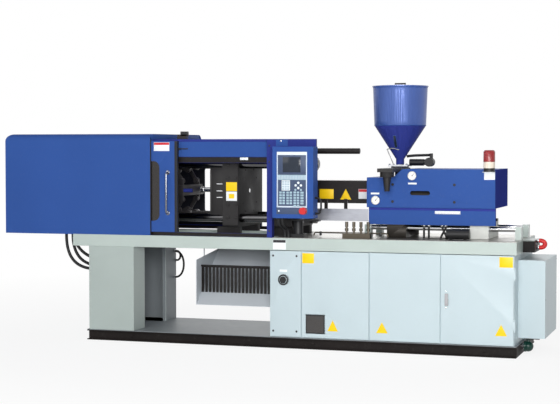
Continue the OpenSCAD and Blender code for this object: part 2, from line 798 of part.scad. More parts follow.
eject_x0 = moving_back - 118;
module ejector_cylinder() {
    color(blue) difference() {
        union() {
            rod_x(eject_x0, moving_back, 0, mid_z, 50);
            block([moving_back - 20, -65, mid_z - 65], [moving_back, 65, mid_z + 65]);
        }
        rod_x(eject_x0 - 1, moving_back + 1, 0, mid_z, eject_rod_r + run_fit);
        rod_x(eject_x0 + 12, moving_back - 14, 0, mid_z, 38);
    }
}
module ejector_rod() {
    color(steel) {
        rod_x(eject_x0 - 200, moving_x, 0, mid_z, eject_rod_r);
        rod_x(eject_x0 + 13, eject_x0 + 30, 0, mid_z, 38 - run_fit);
        translate([eject_x0 - 190, 0, mid_z]) rotate([0, 90, 0]) cylinder(h = 30, r = 30, $fn = 6);
    }
}

guide_rod_y = 208;
guide_bush_r = 16;
module tail_platen() {
    color(dark_blue) difference() {
        union() {
            along_x(tail_x - tail_t, tail_x) platen_2d();
            platen_shoes(tail_x - tail_t, tail_x);
            in_layer(ear_layer) for (z = [-toggle_z, toggle_z]) platen_ear(z, tail_x, rear_pin_x, ear_r);
        }
        for (z = [-toggle_z, toggle_z]) rod_y(-200, 200, rear_pin_x, mid_z + z, pin_r + run_fit);
        rod_x(tail_x - tail_t - 1, tail_x + 1, 0, mid_z, 40);
    }
    color(steel) {
        both_sides() rod_x(tail_x, cross_x + 110, guide_rod_y, mid_z, guide_bush_r);
        for (y = [-bar_y / 2, bar_y / 2], z = [-bar_z / 2, bar_z / 2]) difference() {
            translate([tail_x - tail_t - nut_t, y, mid_z + z]) rotate([0, 90, 0])
                cylinder(h = nut_t, r = nut_r, $fn = 8);
            rod_x(tail_x - tail_t - nut_t - 1, tail_x, y, mid_z + z, bar_r + run_fit);
        }
    }
}

clamp_rod_r = 25;
clamp_bore_r = 55;
clamp_x1 = tail_x - tail_t;
clamp_head = 60;
clamp_l = 460;
piston_t = 45;
module clamp_cylinder() {
    color(dark_blue) difference() {
        union() {
            rod_x(clamp_x1 - clamp_l, clamp_x1, 0, mid_z, clamp_bore_r + 20);
            rod_x(clamp_x1 - 30, clamp_x1, 0, mid_z, 110);
        }
        rod_x(clamp_x1 - clamp_l + 20, clamp_x1 - clamp_head, 0, mid_z, clamp_bore_r);
        rod_x(clamp_x1 - clamp_head - 1, clamp_x1 + 1, 0, mid_z, clamp_rod_r + run_fit);
    }
}

// Links: a plate with an eye at each end, drawn from one pin to the other
module link_2d(from, to, r0, r1, w) {
    run = to - from;
    a = atan2(run[1], run[0]);
    translate(from) rotate(a) {
        circle(r0);
        translate([0, -w / 2]) square([norm(run), w]);
        translate([norm(run), 0]) circle(r1);
    }
}
module rear_link() {
    color(steel) {
        in_layer(rear_layer) {
            link_2d([rear_pin_x, toggle_z], [rear_pin_x + rear_link_l, toggle_z], knee_r, knee_r, 56);
            link_2d([rear_pin_x, toggle_z], [third_x, third_z], knee_r, 22, 40);
        }
        in_layer([rear_layer[1], ear_layer[1] + 2]) translate([third_x, third_z]) circle(16);
        rod_y(-ear_layer[1], ear_layer[1], rear_pin_x, toggle_z, pin_r);
    }
}
module front_link() {
    color(steel) {
        in_layer(front_layer)
            link_2d([front_pin_x, toggle_z], [front_pin_x - front_link_l, toggle_z], eye_r, eye_r, 52);
        rod_y(-rear_layer[1], rear_layer[1], front_pin_x, toggle_z, pin_r);
    }
}
cross_pin_r = 16;
module cross_link() {
    color(steel) difference() {
        in_layer(cross_layer) link_2d([cross_x, cross_pin_z], [third_x, third_z], 24, 20, 30);
        rod_y(-200, 200, cross_x, cross_pin_z, cross_pin_r + run_fit);
    }
}
module upper() {
    translate([0, 0, mid_z]) children();
}
module lower() {
    translate([0, 0, mid_z]) mirror([0, 0, 1]) children();
}
module rear_link_upper() { upper() rear_link(); }
module rear_link_lower() { lower() rear_link(); }
module front_link_upper() { upper() front_link(); }
module front_link_lower() { lower() front_link(); }
module crosshead_link_upper() { upper() cross_link(); }
module crosshead_link_lower() { lower() cross_link(); }

cross_t = 70;
cross_h = 90;
cross_half = 232;
piston_x = clamp_x1 - clamp_head - piston_t - 5;
module crosshead() {
    color(steel) {
        difference() {
            union() {
                block([cross_x - cross_t / 2, -cross_half, mid_z - cross_h / 2],
                    [cross_x + cross_t / 2, cross_half, mid_z + cross_h / 2]);
                in_layer(lug_layer) for (z = [-1, 1]) {
                    translate([cross_x, mid_z + z * cross_pin_z]) circle(22);
                    translate([cross_x - 22, mid_z + min(0, z * cross_pin_z)]) square([44, cross_pin_z]);
                }
            }
            both_sides() rod_x(cross_x - 60, cross_x + 60, guide_rod_y, mid_z, guide_bush_r + run_fit);
        }
        for (z = [-cross_pin_z, cross_pin_z]) both_sides()
            rod_y(cross_layer[0], lug_layer[1], cross_x, mid_z + z, cross_pin_r);
        rod_x(piston_x, cross_x - cross_t / 2, 0, mid_z, clamp_rod_r);
        rod_x(piston_x, piston_x + piston_t, 0, mid_z, clamp_bore_r - run_fit);
    }
}

// Cabinet door, latch and chute gate

module cabinet_door() {
    color(panel_blue) difference() {
        union() {
            pan(door_x, hinge_x, base_top + 5, beam_z - 5, panel_y, panel_t - slide_gap, sheet_t);
            for (z = hinge_zs) {
                block([hinge_x - 4, panel_y, z + 15], [pivot[0], panel_y + 6, z + hinge_h - 15]);
                translate([pivot[0], pivot[1], z + 15]) cylinder(h = hinge_h - 30, r = 7);
            }
        }
        for (z = hinge_zs) translate([pivot[0], pivot[1], z]) cylinder(h = hinge_h, r = pivot_r + run_fit);
    }
}
latch_x = door_x + 45;
latch_z = 441;
module door_latch() {
    color(steel) {
        rod_y(panel_y - 5, panel_y - slide_gap, latch_x, latch_z, 15);
        block([latch_x - 13, panel_y - 14, latch_z - 48], [latch_x + 13, panel_y - 5, latch_z + 48]);
    }
}

gate_pitch = 32.7;
gate_bar_w = 19;
gate_low = chute_floor(gate_y + 5) + 4 + 1.5;
module chute_gate() {
    x0 = chute_x0 + sheet_t + 6;
    x1 = cab_x0 - sheet_t - 6;
    color(black) {
        rod_x(chute_x0 - 6, cab_x0 - slide_gap, gate_y, gate_z, gate_pin_r);
        block([x0, gate_y - 6, gate_z - 14], [x1, gate_y + 6, gate_z + 6]);
        for (i = [0:floor((x1 - x0 - gate_bar_w) / gate_pitch)])
            block([x0 + i * gate_pitch, gate_y - 5, gate_low],
                [x0 + i * gate_pitch + gate_bar_w, gate_y + 5, gate_z - 14]);
    }
}

// Water manifold: four valves on one block, in front of the covers
valve_pitch = 60;
module water_manifold() {
    color([0.6, 0.55, 0.4]) {
        block([630, -405, deck_z], [860, -355, deck_z + 40]);
        for (i = [0:3]) translate([660 + i * valve_pitch, -380, 0]) {
            translate([0, 0, deck_z + 40]) cylinder(h = 50, r = 9);
            translate([0, 0, deck_z + 58]) cylinder(h = 22, r = 15);
        }
    }
    color(steel) for (i = [0:3])
        translate([660 + i * valve_pitch, -380, deck_z + 90]) cylinder(h = 42, r = 13);
}

// Injection carriage

rail_x0 = 770;
rail_x1 = nozzle_reach - 5;
support_l = 50;
module carriage_rails() {
    color(steel) both_sides() rod_x(rail_x0, rail_x1, guide_y, guide_z, guide_r);
    color([0.2, 0.2, 0.22]) for (x = [rail_x0, rail_x1 - support_l]) both_sides() difference() {
        block([x, guide_y - 40, deck_z], [x + support_l, guide_y + 40, guide_z + 22]);
        rod_x(x - 1, x + support_l + 1, guide_y, guide_z, guide_r);
    }
}

cyl_r = 55;
cyl_bore = 40;
cyl_l = 290;
ram_r = 20;
module carriage_foot(x0, x1, top) {
    difference() {
        block([x0, -guide_y - 50, deck_z + 2], [x1, guide_y + 50, top]);
        both_sides() rod_x(x0 - 1, x1 + 1, guide_y, guide_z, guide_r + run_fit);
        block([x0 + 20, -guide_y + 45, deck_z + 1], [x1 - 20, guide_y - 45, top - 30]);
    }
}
module carriage() {
    plate_x1 = foot_x + front_plate_t;
    color([0.42, 0.40, 0.36]) difference() {
        union() {
            carriage_foot(foot_x, foot_x + foot_l, bed_h + 112);
            carriage_foot(rear_foot_x, rear_foot_x + rear_foot_l, bed_h + 130);
            both_sides() block([foot_x + 20, guide_y + 10, bed_h + 112],
                [rear_foot_x + rear_foot_l, guide_y + 50, bed_h + 152]);
            block([foot_x, cover_y0 + skirt_in + sheet_t, bed_h + 112], [plate_x1, 270, plate_top]);
            both_sides() rod_x(plate_x1, plate_x1 + cyl_l, guide_y, mid_z, cyl_r);
        }
        rod_x(foot_x - 1, plate_x1 + 1, 0, mid_z, barrel_r);
        translate([throat_x, 0, mid_z]) cylinder(h = 200, r = throat_r);
        both_sides() rod_x(plate_x1 + 15, plate_x1 + cyl_l - 20, guide_y, mid_z, cyl_bore);
        both_sides() rod_x(plate_x1 + cyl_l - 21, plate_x1 + cyl_l + 1, guide_y, mid_z, ram_r + run_fit);
    }
}
nozzle_x = 200;
band_r = 72;
module barrel() {
    color(steel) difference() {
        union() {
            rod_x(nozzle_x + 90, foot_x + front_plate_t, 0, mid_z, barrel_r);
            translate([nozzle_x + 20, 0, mid_z]) rotate([0, 90, 0]) cylinder(h = 71, r1 = 22, r2 = barrel_r);
            translate([nozzle_x, 0, mid_z]) rotate([0, 90, 0]) cylinder(h = 21, r1 = 10, r2 = 22);
            for (i = [0:4]) rod_x(330 + i * 120, 330 + i * 120 + 95, 0, mid_z, band_r);
        }
        rod_x(nozzle_x + 70, foot_x + front_plate_t + 1, 0, mid_z, screw_r + 0.4);
        rod_x(nozzle_x - 1, nozzle_x + 71, 0, mid_z, 4);
        translate([throat_x, 0, mid_z]) cylinder(h = 200, r = screw_r);
    }
}
screw_pitch = 50;
screw_l = 760;
module screw() {
    color(steel) {
        translate([nozzle_x + 110, 0, mid_z]) rotate([0, 90, 0])
            linear_extrude(screw_l, twist = -360 * screw_l / screw_pitch,
                slices = floor(6 * screw_l / screw_pitch))
                translate([screw_r * 0.28, 0]) circle(screw_r * 0.7, $fn = 8);
        translate([nozzle_x + 76, 0, mid_z]) rotate([0, 90, 0]) cylinder(h = 36, r1 = 4, r2 = screw_r * 0.9);
        rod_x(nozzle_x + 110 + screw_l, drive_x + drive_t, 0, mid_z, screw_r);
    }
}
module screw_drive() {
    color([0.3, 0.32, 0.36]) difference() {
        union() {
            block([drive_x, -240, mid_z - 95], [drive_x + drive_t, 240, mid_z + 95]);
            rod_x(drive_x + drive_t, drive_x + 200, 0, mid_z, 80);
            rod_x(drive_x + 200, drive_x + 225, 0, mid_z, 60);
        }
        rod_x(drive_x - 1, drive_x + drive_t, 0, mid_z, screw_r + run_fit);
    }
    color(steel) both_sides() {
        rod_x(foot_x + front_plate_t + 30, drive_x, guide_y, mid_z, ram_r);
        rod_x(foot_x + front_plate_t + 20, foot_x + front_plate_t + 50, guide_y, mid_z, cyl_bore - run_fit);
    }
}

guard_half = 98;
shield_x = 250;
module barrel_guard() {
    color(black) along_x(shield_x, foot_x) difference() {
        translate([-guard_half, mid_z - 96]) square([2 * guard_half, 187]);
        translate([-guard_half + sheet_t, mid_z - 97])
            square([2 * guard_half - 2 * sheet_t, 187 - sheet_t + 1]);
    }
}
tray_z = [bed_h + 138, bed_h + 236];
module drip_tray() {
    color([0.85, 0.86, 0.88]) {
        block([375, -302, tray_z[0]], [cover_x + 14, -300, tray_z[1]]);
        block([375, -302, tray_z[0]], [cover_x + 14, -250, tray_z[0] + 2]);
    }
    color(black) for (x = [390, 560]) {
        block([x, -300, tray_z[1] - 22], [x + 30, -guard_half, tray_z[1] - 16]);
        block([x, -guard_half - 5, tray_z[1] - 22], [x + 30, -guard_half, mid_z - 60]);
    }
}

slope_x = 1024;
module cover_2d(t) {
    top = cover_z + cover_h - t;
    polygon([[cover_x + t, cover_z - t], [cover_x + t, low_top - t], [slope_x + t * 0.4, low_top - t],
        [slope_x + 76 + t * 0.4, top], [cover_x1 - t, top], [cover_x1 - t, cover_z - t]]);
}
module upper_cover() {
    color(blue) difference() {
        along_y(cover_y0, cover_y1) cover_2d(0);
        along_y(cover_y0 + sheet_t, cover_y1 - sheet_t) cover_2d(sheet_t);
        block([cover_x - 1, -guard_half - 2, cover_z - 1], [cover_x + 5, guard_half + 2, mid_z + 94]);
        translate([throat_x, 0, low_top - 20]) cylinder(h = 80, r = 45);
        along_y(cover_y0 - 1, cover_y0 + sheet_t + 1)
            rounded([cover_x + 360, cover_z + 101], [cover_x + 522, cover_z + 135], 16);
    }
}
skirt_in = 14;
skirt_short = 115;
module lower_cover() {
    x0 = cover_x + skirt_in;
    color(blue) difference() {
        block([x0, cover_y0 + skirt_in, cover_z - skirt_h], [cover_x1, cover_y1 - skirt_in, cover_z]);
        block([x0 + sheet_t, cover_y0 + skirt_in + sheet_t, cover_z - skirt_h - 1],
            [cover_x1 - sheet_t, cover_y1 - skirt_in - sheet_t, cover_z + 1]);
        block([x0 - 1, -guard_half - 2, cover_z - 100], [x0 + 5, guard_half + 2, cover_z + 1]);
        // The end is open behind the front sheet's return, and the rear sheet stops short of it
        block([cover_x1 - skirt_short, cover_y0 + skirt_in + 30, cover_z - skirt_h - 1],
            [cover_x1 + 1, cover_y1, cover_z + 1]);
    }
}

lamp_x = cover_x1 - 41;
lamp_y = cover_y0 - 48;
lamp_z = bed_h + 541;
lamp_r = 46;
module alarm_lamp() {
    color("white") {
        block([lamp_x - 48, cover_y0 - 2, lamp_z - 60], [lamp_x + 38, cover_y0, lamp_z]);
        block([lamp_x - 46, lamp_y - 44, lamp_z], [lamp_x + 40, cover_y0, lamp_z + 3]);
    }
    color(black) translate([lamp_x, lamp_y, lamp_z + 3]) cylinder(h = 30, r = lamp_r - 2);
    color([0.9, 0.88, 0.8]) translate([lamp_x, lamp_y, lamp_z + 33]) cylinder(h = 49, r = lamp_r - 1);
}
module lamp_lens() {
    color([0.8, 0.1, 0.08, 0.8]) translate([lamp_x, lamp_y, lamp_z + 82]) {
        cylinder(h = 78, r = lamp_r);
        translate([0, 0, 78]) cylinder(h = 15, r1 = lamp_r, r2 = lamp_r - 8);
    }
}

gauge_at = [[cover_x + 380, cover_z + 258], [cover_x + 79, cover_z + 58]];
gauge_r = 37;
module gauges() {
    for (g = gauge_at) {
        color(steel) difference() {
            rod_y(cover_y0 - 28, cover_y0, g[0], g[1], gauge_r);
            rod_y(cover_y0 - 29, cover_y0 - 18, g[0], g[1], gauge_r - 4);
        }
        color(black) {
            rod_y(cover_y0 - 22, cover_y0 - 18, g[0], g[1], 4);
            translate([g[0], 0, g[1]]) rotate([0, 40, 0]) translate([-g[0], 0, -g[1]])
                block([g[0] - 1.5, cover_y0 - 22, g[1]], [g[0] + 1.5, cover_y0 - 20, g[1] + 26]);
        }
    }
}

slide_half = 62;
spout_y = -hopper_travel;
module feed_slide() {
    color([0.10, 0.10, 0.11]) {
        difference() {
            union() {
                block([throat_x - slide_half, spout_y - 80, slide_z0],
                    [throat_x + slide_half, 110, slide_z1]);
                translate([throat_x, spout_y, slide_z0 - 40]) cylinder(h = 41, r = 57);
                translate([throat_x, spout_y, slide_z0 - 154]) cylinder(h = 115, r1 = drain_r + 3, r2 = 33);
                translate([throat_x, 0, plate_top]) cylinder(h = slide_z0 - plate_top + 1, r = throat_r + 9);
            }
            translate([throat_x, 0, slide_z0 - 200]) cylinder(h = 260, r = throat_r);
            translate([throat_x, spout_y, slide_z0 - 200]) cylinder(h = 260, r = drain_r);
        }
    }
}

// Hopper

wall = 2;
module hopper() {
    color(blue) translate([throat_x, 0, 0]) rotate_extrude() polygon([
        [neck_r - wall, hopper_z0], [neck_r, hopper_z0], [neck_r, cone_z], [shoulder_r, shoulder_z],
        [hopper_r, rim_z - 6], [hopper_r + 6, rim_z - 6], [hopper_r + 6, rim_z], [hopper_r - wall, rim_z],
        [shoulder_r - wall, shoulder_z + 1], [neck_r - wall, cone_z + 1]]);
    color(steel) difference() {
        block([throat_x - 82, -82, hopper_z0 - flange_t], [throat_x + 82, 82, hopper_z0]);
        translate([throat_x, 0, hopper_z0 - 30]) cylinder(h = 60, r = neck_r - wall);
    }
    color(black) difference() {
        block([throat_x - 58, -75, slide_z1 + slide_gap], [throat_x + 58, 75, hopper_z0 - flange_t]);
        translate([throat_x, 0, slide_z1 - 1]) cylinder(h = 60, r = neck_r - wall);
    }
}
module hopper_lid() {
    color(blue) translate([throat_x, 0, rim_z]) rotate_extrude()
        polygon([[0, 0], [hopper_r + 6, 0], [hopper_r + 6, 2], [0, 16]]);
    color(black) for (x = [-40, 40]) translate([throat_x + x, 0, rim_z + 10]) cylinder(h = 18, r = 7);
    color("white") rod_x(throat_x - 40, throat_x + 40, 0, rim_z + 22, 6);
}

duct_r = 11;
body_z = hopper_z0 + 20;
duct_path = bezier([[throat_x + 57, 0, cone_z + 22], [throat_x + 110, 0, cone_z + 32],
    [throat_x + 180, 0, cone_z + 30], [throat_x + 262, 0, cone_z + 34]], 10);
module air_duct() {
    color(black) {
        rod_x(throat_x + 82 + slide_gap, throat_x + 200, 0, body_z - 2, 28);
        rod_x(throat_x + 200, throat_x + 250, 0, body_z, 24);
        rod_y(-38, 38, throat_x + 250, body_z, 37);
        hose(duct_path, duct_r, [0, 1, 0]);
        translate([throat_x + 262, 0, body_z]) cylinder(h = cone_z + 34 - body_z + 13, r = 14);
    }
}

// Hoses that run from one fitting to the next
hose_r = 13;
hose_x = -clamp_reach - 167;
leg_hose_z = 585;
end_box_x = nozzle_reach + 95;
module hoses() {
    color(black) {
        // From the clamp cylinder to the front leg
        for (i = [0, 1]) let (x = hose_x + i * 45, y = -285 + i * 34, z = leg_hose_z + i * 30) {
            hose(concat([[x, y, deck_z + 60]],
                bezier([[x, y, deck_z - 30], [x, y, z + 70], [x + 110, y, z], [leg_x - 40, y, z]], 12),
                [[leg_x - 25, y, z]]), hose_r, [0, 1, 0]);
            rod_x(leg_x - 30, leg_x, y, z, hose_r + 4);
        }
        let (x = hose_x + 97, y = -330, z = beam_z - 110) {
            hose(concat([[x, y, deck_z + 60]],
                bezier([[x, y, deck_z - 30], [x, y, z + 100],
                    [leg_x - 120, y, z + 10], [leg_x - 40, y, z]], 8),
                [[leg_x - 25, y, z]]), hose_r, [0, 1, 0]);
            rod_x(leg_x - 30, leg_x, y, z, hose_r + 4);
        }
        // Loops that leave the rear leg and return to it
        for (i = [0, 1]) let (x = leg_x + leg_l, y = 400 + i * 30, out = 120 - i * 60) {
            high = beam_z - 97;
            low = 470 + i * 150;
            hose(concat([[x, y, high]],
                bezier([[x + 15, y, high], [x + out, y, high], [x + out, y, low], [x + 15, y, low]], 10),
                [[x, y, low]]), hose_r - 4, [0, 1, 0]);
        }
        // From the operator box down to the deck
        for (x = [box_x + 34, box_x + 64]) hose(concat([[x, -560, box_z]],
            bezier([[x, -560, box_z - 15], [x, -560, box_z - 90],
                [x + 25, -470, deck_z + 110], [x + 25, -470, deck_z + 20]], 8),
            [[x + 25, -470, deck_z]]), 12, unit([1, 0.1, 0]));
    }
    // From the end box to the end of the bed
    color([0.75, 0.1, 0.1]) let (x = end_box_x, y = -60) hose(concat([[x, y, bed_h - 20]],
        bezier([[x + 15, y, bed_h - 20], [x + 125, y, bed_h - 15],
            [x + 125, y, beam_z + 15], [x + 15, y, beam_z + 20]], 10),
        [[x, y, beam_z + 20]]), 14, [0, 1, 0]);
}

base_frame();
floor_plate();
clamp_legs();
bed_frame();
bed_deck();
chute();
cabinet_shell();
cover_panels();
pump_motor();
electrics_plate();
end_cabinet();
end_box();
clamp_casing();
guard_frame();
control_box();
control_panel();
grease_pump();
stationary_platen();
tie_bars();
water_manifold();
carriage_rails();
drain_valve();
hoses();
tail_platen();
clamp_cylinder();
moving_platen();
ejector_cylinder();
safety_bar();
ejector_rod();
rear_link_upper();
rear_link_lower();
front_link_upper();
front_link_lower();
crosshead();
crosshead_link_upper();
crosshead_link_lower();
front_door();
door_window();
door_handle();
rear_door();
cabinet_door();
door_latch();
emergency_stop();
chute_gate();
drain_lever();
carriage();
barrel();
barrel_guard();
drip_tray();
upper_cover();
lower_cover();
alarm_lamp();
lamp_lens();
gauges();
feed_slide();
screw_drive();
screw();
hopper();
hopper_lid();
air_duct();
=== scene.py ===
import json
from math import atan2, cos, pi, radians, sin

import bmesh
import bpy
from mathutils import Matrix, Vector


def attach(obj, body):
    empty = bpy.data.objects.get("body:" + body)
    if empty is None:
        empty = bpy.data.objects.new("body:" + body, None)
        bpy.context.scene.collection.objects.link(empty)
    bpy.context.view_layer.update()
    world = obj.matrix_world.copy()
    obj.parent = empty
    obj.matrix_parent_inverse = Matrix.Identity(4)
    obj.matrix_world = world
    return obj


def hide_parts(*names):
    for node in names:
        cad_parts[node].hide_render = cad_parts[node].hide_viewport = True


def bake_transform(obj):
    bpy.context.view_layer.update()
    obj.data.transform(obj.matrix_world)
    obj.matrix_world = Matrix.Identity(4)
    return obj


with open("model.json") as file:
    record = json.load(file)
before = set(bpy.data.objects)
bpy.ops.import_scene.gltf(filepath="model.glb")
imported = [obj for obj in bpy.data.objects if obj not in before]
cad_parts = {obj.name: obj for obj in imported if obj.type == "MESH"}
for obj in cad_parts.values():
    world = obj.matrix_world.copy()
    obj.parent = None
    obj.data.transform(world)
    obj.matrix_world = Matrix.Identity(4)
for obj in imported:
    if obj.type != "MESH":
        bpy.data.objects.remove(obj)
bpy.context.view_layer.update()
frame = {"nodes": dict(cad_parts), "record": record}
scene = bpy.context.scene
print("frame loaded")

camera = {"place": (3.764, -11.649, 1.637), "tilt": 2.167, "turn": 18.05, "lens": 92.74, "sensor": 36}
camData = bpy.data.cameras.new("camera")
camData.lens = camera["lens"]
camData.sensor_width = camera["sensor"]
camObject = bpy.data.objects.new("camera", camData)
scene.collection.objects.link(camObject)
camObject.location = camera["place"]
camObject.rotation_euler = (radians(90 - camera["tilt"]), 0, radians(camera["turn"]))
scene.camera = camObject


class Socket:  # a node's output, so that shader maths reads as arithmetic
    def __init__(self, graph, socket):
        self.graph = graph
        self.socket = socket

    def math(self, operation, other=None):
        values = {0: self} if other is None else {0: self, 1: other}
        return self.graph.node("ShaderNodeMath", {"operation": operation}, values)

    def __add__(self, other): return self.math("ADD", other)
    def __mul__(self, other): return self.math("MULTIPLY", other)


class Graph:  # a node tree
    def __init__(self, tree):
        self.tree = tree

    def node(self, kind, settings, inputs, output=0):
        made = self.tree.nodes.new(kind)
        for key, value in settings.items():
            setattr(made, key, value)
        for key, value in inputs.items():
            if isinstance(value, Socket):
                self.tree.links.new(value.socket, made.inputs[key])
            else:
                made.inputs[key].default_value = value
        return Socket(self, made.outputs[output])

    def seen(self):  # 1 where the camera, a mirror or glass looks, else 0
        rays = [self.node("ShaderNodeLightPath", {}, {}, kind)
                for kind in ("Is Camera Ray", "Is Glossy Ray", "Is Transmission Ray")]
        return rays[0].math("MAXIMUM", rays[1]).math("MAXIMUM", rays[2])


class Finish(Graph):  # a material
    def __init__(self, name, **shader):
        self.mat = bpy.data.materials.new(name)
        self.mat.use_nodes = True
        super().__init__(self.mat.node_tree)
        self.shader = self.tree.nodes["Principled BSDF"]
        for key, value in shader.items():
            self.shader.inputs[key.replace("_", " ")].default_value = value
        self.place = self.node("ShaderNodeTexCoord", {}, {}, "Object")

    def noise(self, scale, detail=3.0, roughness=0.5, stretch=(1, 1, 1)):
        spot = self.node("ShaderNodeVectorMath", {"operation": "MULTIPLY"}, {0: self.place, 1: stretch})
        return self.node("ShaderNodeTexNoise", {},
                         {"Vector": spot, "Scale": scale, "Detail": detail, "Roughness": roughness})

    def ramp(self, value, low, high):  # black up to low, white from high
        made = self.node("ShaderNodeValToRGB", {}, {0: value})
        for element, position in zip(made.socket.node.color_ramp.elements, (low, high)):
            element.position = position
        return made

    def axis(self, name):
        return self.node("ShaderNodeSeparateXYZ", {}, {0: self.place}, "XYZ".index(name))

    def mix(self, factor, low, high):  # the node's colours are inputs 6 and 7, and output 2
        inputs = {0: factor}
        for key, value in ((6, low), (7, high)):
            inputs[key] = value if isinstance(value, Socket) else (*value, 1)
        return self.node("ShaderNodeMix", {"data_type": "RGBA"}, inputs, 2)

    def feed(self, key, value):
        self.tree.links.new(value.socket, self.shader.inputs[key])

    def bump(self, height, strength, distance):
        self.feed("Normal", self.node("ShaderNodeBump", {},
                                      {"Strength": strength, "Distance": distance, "Height": height}))


def srgb(r, g, b):  # screen values of 0 to 255 to linear colour
    return tuple(v / 255 / 12.92 if v <= 10 else ((v / 255 + 0.055) / 1.055) ** 2.4 for v in (r, g, b))


def scaled(colour, k):
    return tuple(min(1, c * k) for c in colour)


finishes = {}

# A noise is given as its scale, detail and roughness, and a band as where it starts and is full

# Sprayed enamel: faint mottling, orange peel, dust in the grain
enamel = {"cloud": (2.3, 4), "cloudBand": (0.3, 0.75), "dust": (38, 5, 0.65), "dustBand": (0.55, 0.8),
          "dustShare": 0.05, "dustColour": srgb(150, 148, 140), "waver": (14, 3), "waverDepth": 0.12,
          "peel": (420, 2), "peelDepth": 0.0006, "coatRough": 0.22}
paints = {
    "bluePaint": {"colour": srgb(52, 84, 152), "rough": 0.46, "gloss": 0.04,
                  "coat": 0.0, "mottle": 0.04, "peel": 0.04},
    "deepBluePaint": {"colour": srgb(46, 56, 130), "rough": 0.46, "gloss": 0.05,
                      "coat": 0.0, "mottle": 0.06, "peel": 0.04},
    "hopperPaint": {"colour": srgb(48, 82, 156), "rough": 0.44, "gloss": 1.0,
                    "coat": 0.25, "mottle": 0.03, "peel": 0.01, "metal": 0.36},
    # Painted shade: a darker, matt copy of the covers' blue, for their right side faces and for the band under their
    # joint
    "sideBluePaint": {"colour": srgb(54, 64, 146), "rough": 0.50, "gloss": 0.0,
                      "coat": 0.0, "mottle": 0.06, "peel": 0.04},
    "greyPaint": {"colour": srgb(180, 192, 187), "rough": 0.38, "gloss": 0.40,
                  "coat": 0.15, "mottle": 0.04, "peel": 0.05},
    "legPaint": {"colour": srgb(168, 179, 175), "rough": 0.46, "gloss": 0.35,
                 "coat": 0.05, "mottle": 0.05, "peel": 0.06},
    "platePaint": {"colour": srgb(122, 128, 132), "rough": 0.48, "gloss": 0.30,
                   "coat": 0.05, "mottle": 0.06, "peel": 0.08},
    "panelPaint": {"colour": srgb(190, 205, 210), "rough": 0.42, "gloss": 0.35,
                   "coat": 0.10, "mottle": 0.02, "peel": 0.04},
    # Painted shade: a near black paint for faces that lie in shade, the rear door's inside and the rear beam's inner
    # web
    "paintedShade": {"colour": srgb(20, 22, 34), "rough": 0.50, "gloss": 0.20,
                   "coat": 0.0, "mottle": 0.10, "peel": 0.05},
    "chutePaint": {"colour": srgb(188, 194, 200), "rough": 0.44, "gloss": 0.35,
                   "coat": 0.08, "mottle": 0.04, "peel": 0.05},
    "blackPaint": {"colour": srgb(24, 20, 20), "rough": 0.48, "gloss": 0.25,
                   "coat": 0.04, "mottle": 0.25, "peel": 0.08},
    "railPaint": {"colour": srgb(25, 20, 19), "rough": 0.56, "gloss": 0.16,
                  "coat": 0.0, "mottle": 0.30, "peel": 0.10},
}
for name, p in paints.items():
    f = Finish(name, Metallic=p.get("metal", 0), Roughness=p["rough"], Specular_IOR_Level=p["gloss"],
               Coat_Weight=p["coat"], Coat_Roughness=enamel["coatRough"])
    cloud = f.ramp(f.noise(*enamel["cloud"]), *enamel["cloudBand"])
    tint = f.mix(cloud, scaled(p["colour"], 1 - p["mottle"]), scaled(p["colour"], 1 + p["mottle"]))
    dust = f.ramp(f.noise(*enamel["dust"]), *enamel["dustBand"]) * enamel["dustShare"]
    f.feed("Base Color", f.mix(dust, tint, enamel["dustColour"]))
    waver = f.noise(*enamel["waver"]) * enamel["waverDepth"]
    f.feed("Roughness", waver + (p["rough"] - enamel["waverDepth"] / 2))
    f.bump(f.noise(*enamel["peel"]), p["peel"], enamel["peelDepth"])
    finishes[name] = f

# Bare metals, ground or drawn along one axis
ground = {"streak": (9, 4, 0.6), "shades": (0.85, 1.12), "streakRough": 0.16, "smoother": 0.05,
          "grime": (7, 5, 0.6), "grimeBand": (0.45, 0.8), "grimeRough": 0.25, "grimeColour": srgb(62, 54, 44),
          "groove": (0.06, 0.0005)}
metals = {
    "groundSteel": {"colour": (0.32, 0.32, 0.33), "rough": 0.36, "stretch": (3, 60, 60), "grime": 0.6},
    "brightSteel": {"colour": (0.70, 0.71, 0.73), "rough": 0.14, "stretch": (2, 50, 50), "grime": 0.15},
    "polishedSheet": {"colour": (0.38, 0.39, 0.43), "rough": 0.31, "stretch": (2, 2, 12), "grime": 0.1},
    # tieSteel is far darker than bright steel: painted shade, standing for the dark clamp interior that the polished
    # bars reflect
    "tieSteel": {"colour": (0.11, 0.11, 0.115), "rough": 0.15, "stretch": (2, 50, 50), "grime": 0.3},
    "flangeSteel": {"colour": (0.46, 0.47, 0.49), "rough": 0.30, "stretch": (20, 20, 4), "grime": 0.1},
    # deckSheet's darkened tone and heavy grime stand partly for dirt and partly for painted dark reflections of the
    # parts above the deck
    "deckSheet": {"colour": (0.37, 0.36, 0.34), "rough": 0.26, "stretch": (2, 12, 2), "grime": 0.45},
    "bronzeFitting": {"colour": (0.11, 0.095, 0.075), "rough": 0.26, "stretch": (20, 20, 20), "grime": 0.5},
    "handleChrome": {"colour": (0.20, 0.21, 0.25), "rough": 0.14, "stretch": (30, 30, 2), "grime": 0.05},
}
for name, p in metals.items():
    f = Finish(name, Metallic=1.0, Roughness=p["rough"])
    streak = f.noise(*ground["streak"], p["stretch"])
    grime = f.ramp(f.noise(*ground["grime"]), *ground["grimeBand"]) * p["grime"]
    drawn = f.mix(streak, *(scaled(p["colour"], shade) for shade in ground["shades"]))
    f.feed("Base Color", f.mix(grime, drawn, ground["grimeColour"]))
    rougher = streak * ground["streakRough"] + grime * ground["grimeRough"]
    f.feed("Roughness", rougher + (p["rough"] - ground["smoother"]))
    f.bump(streak, *ground["groove"])
    finishes[name] = f

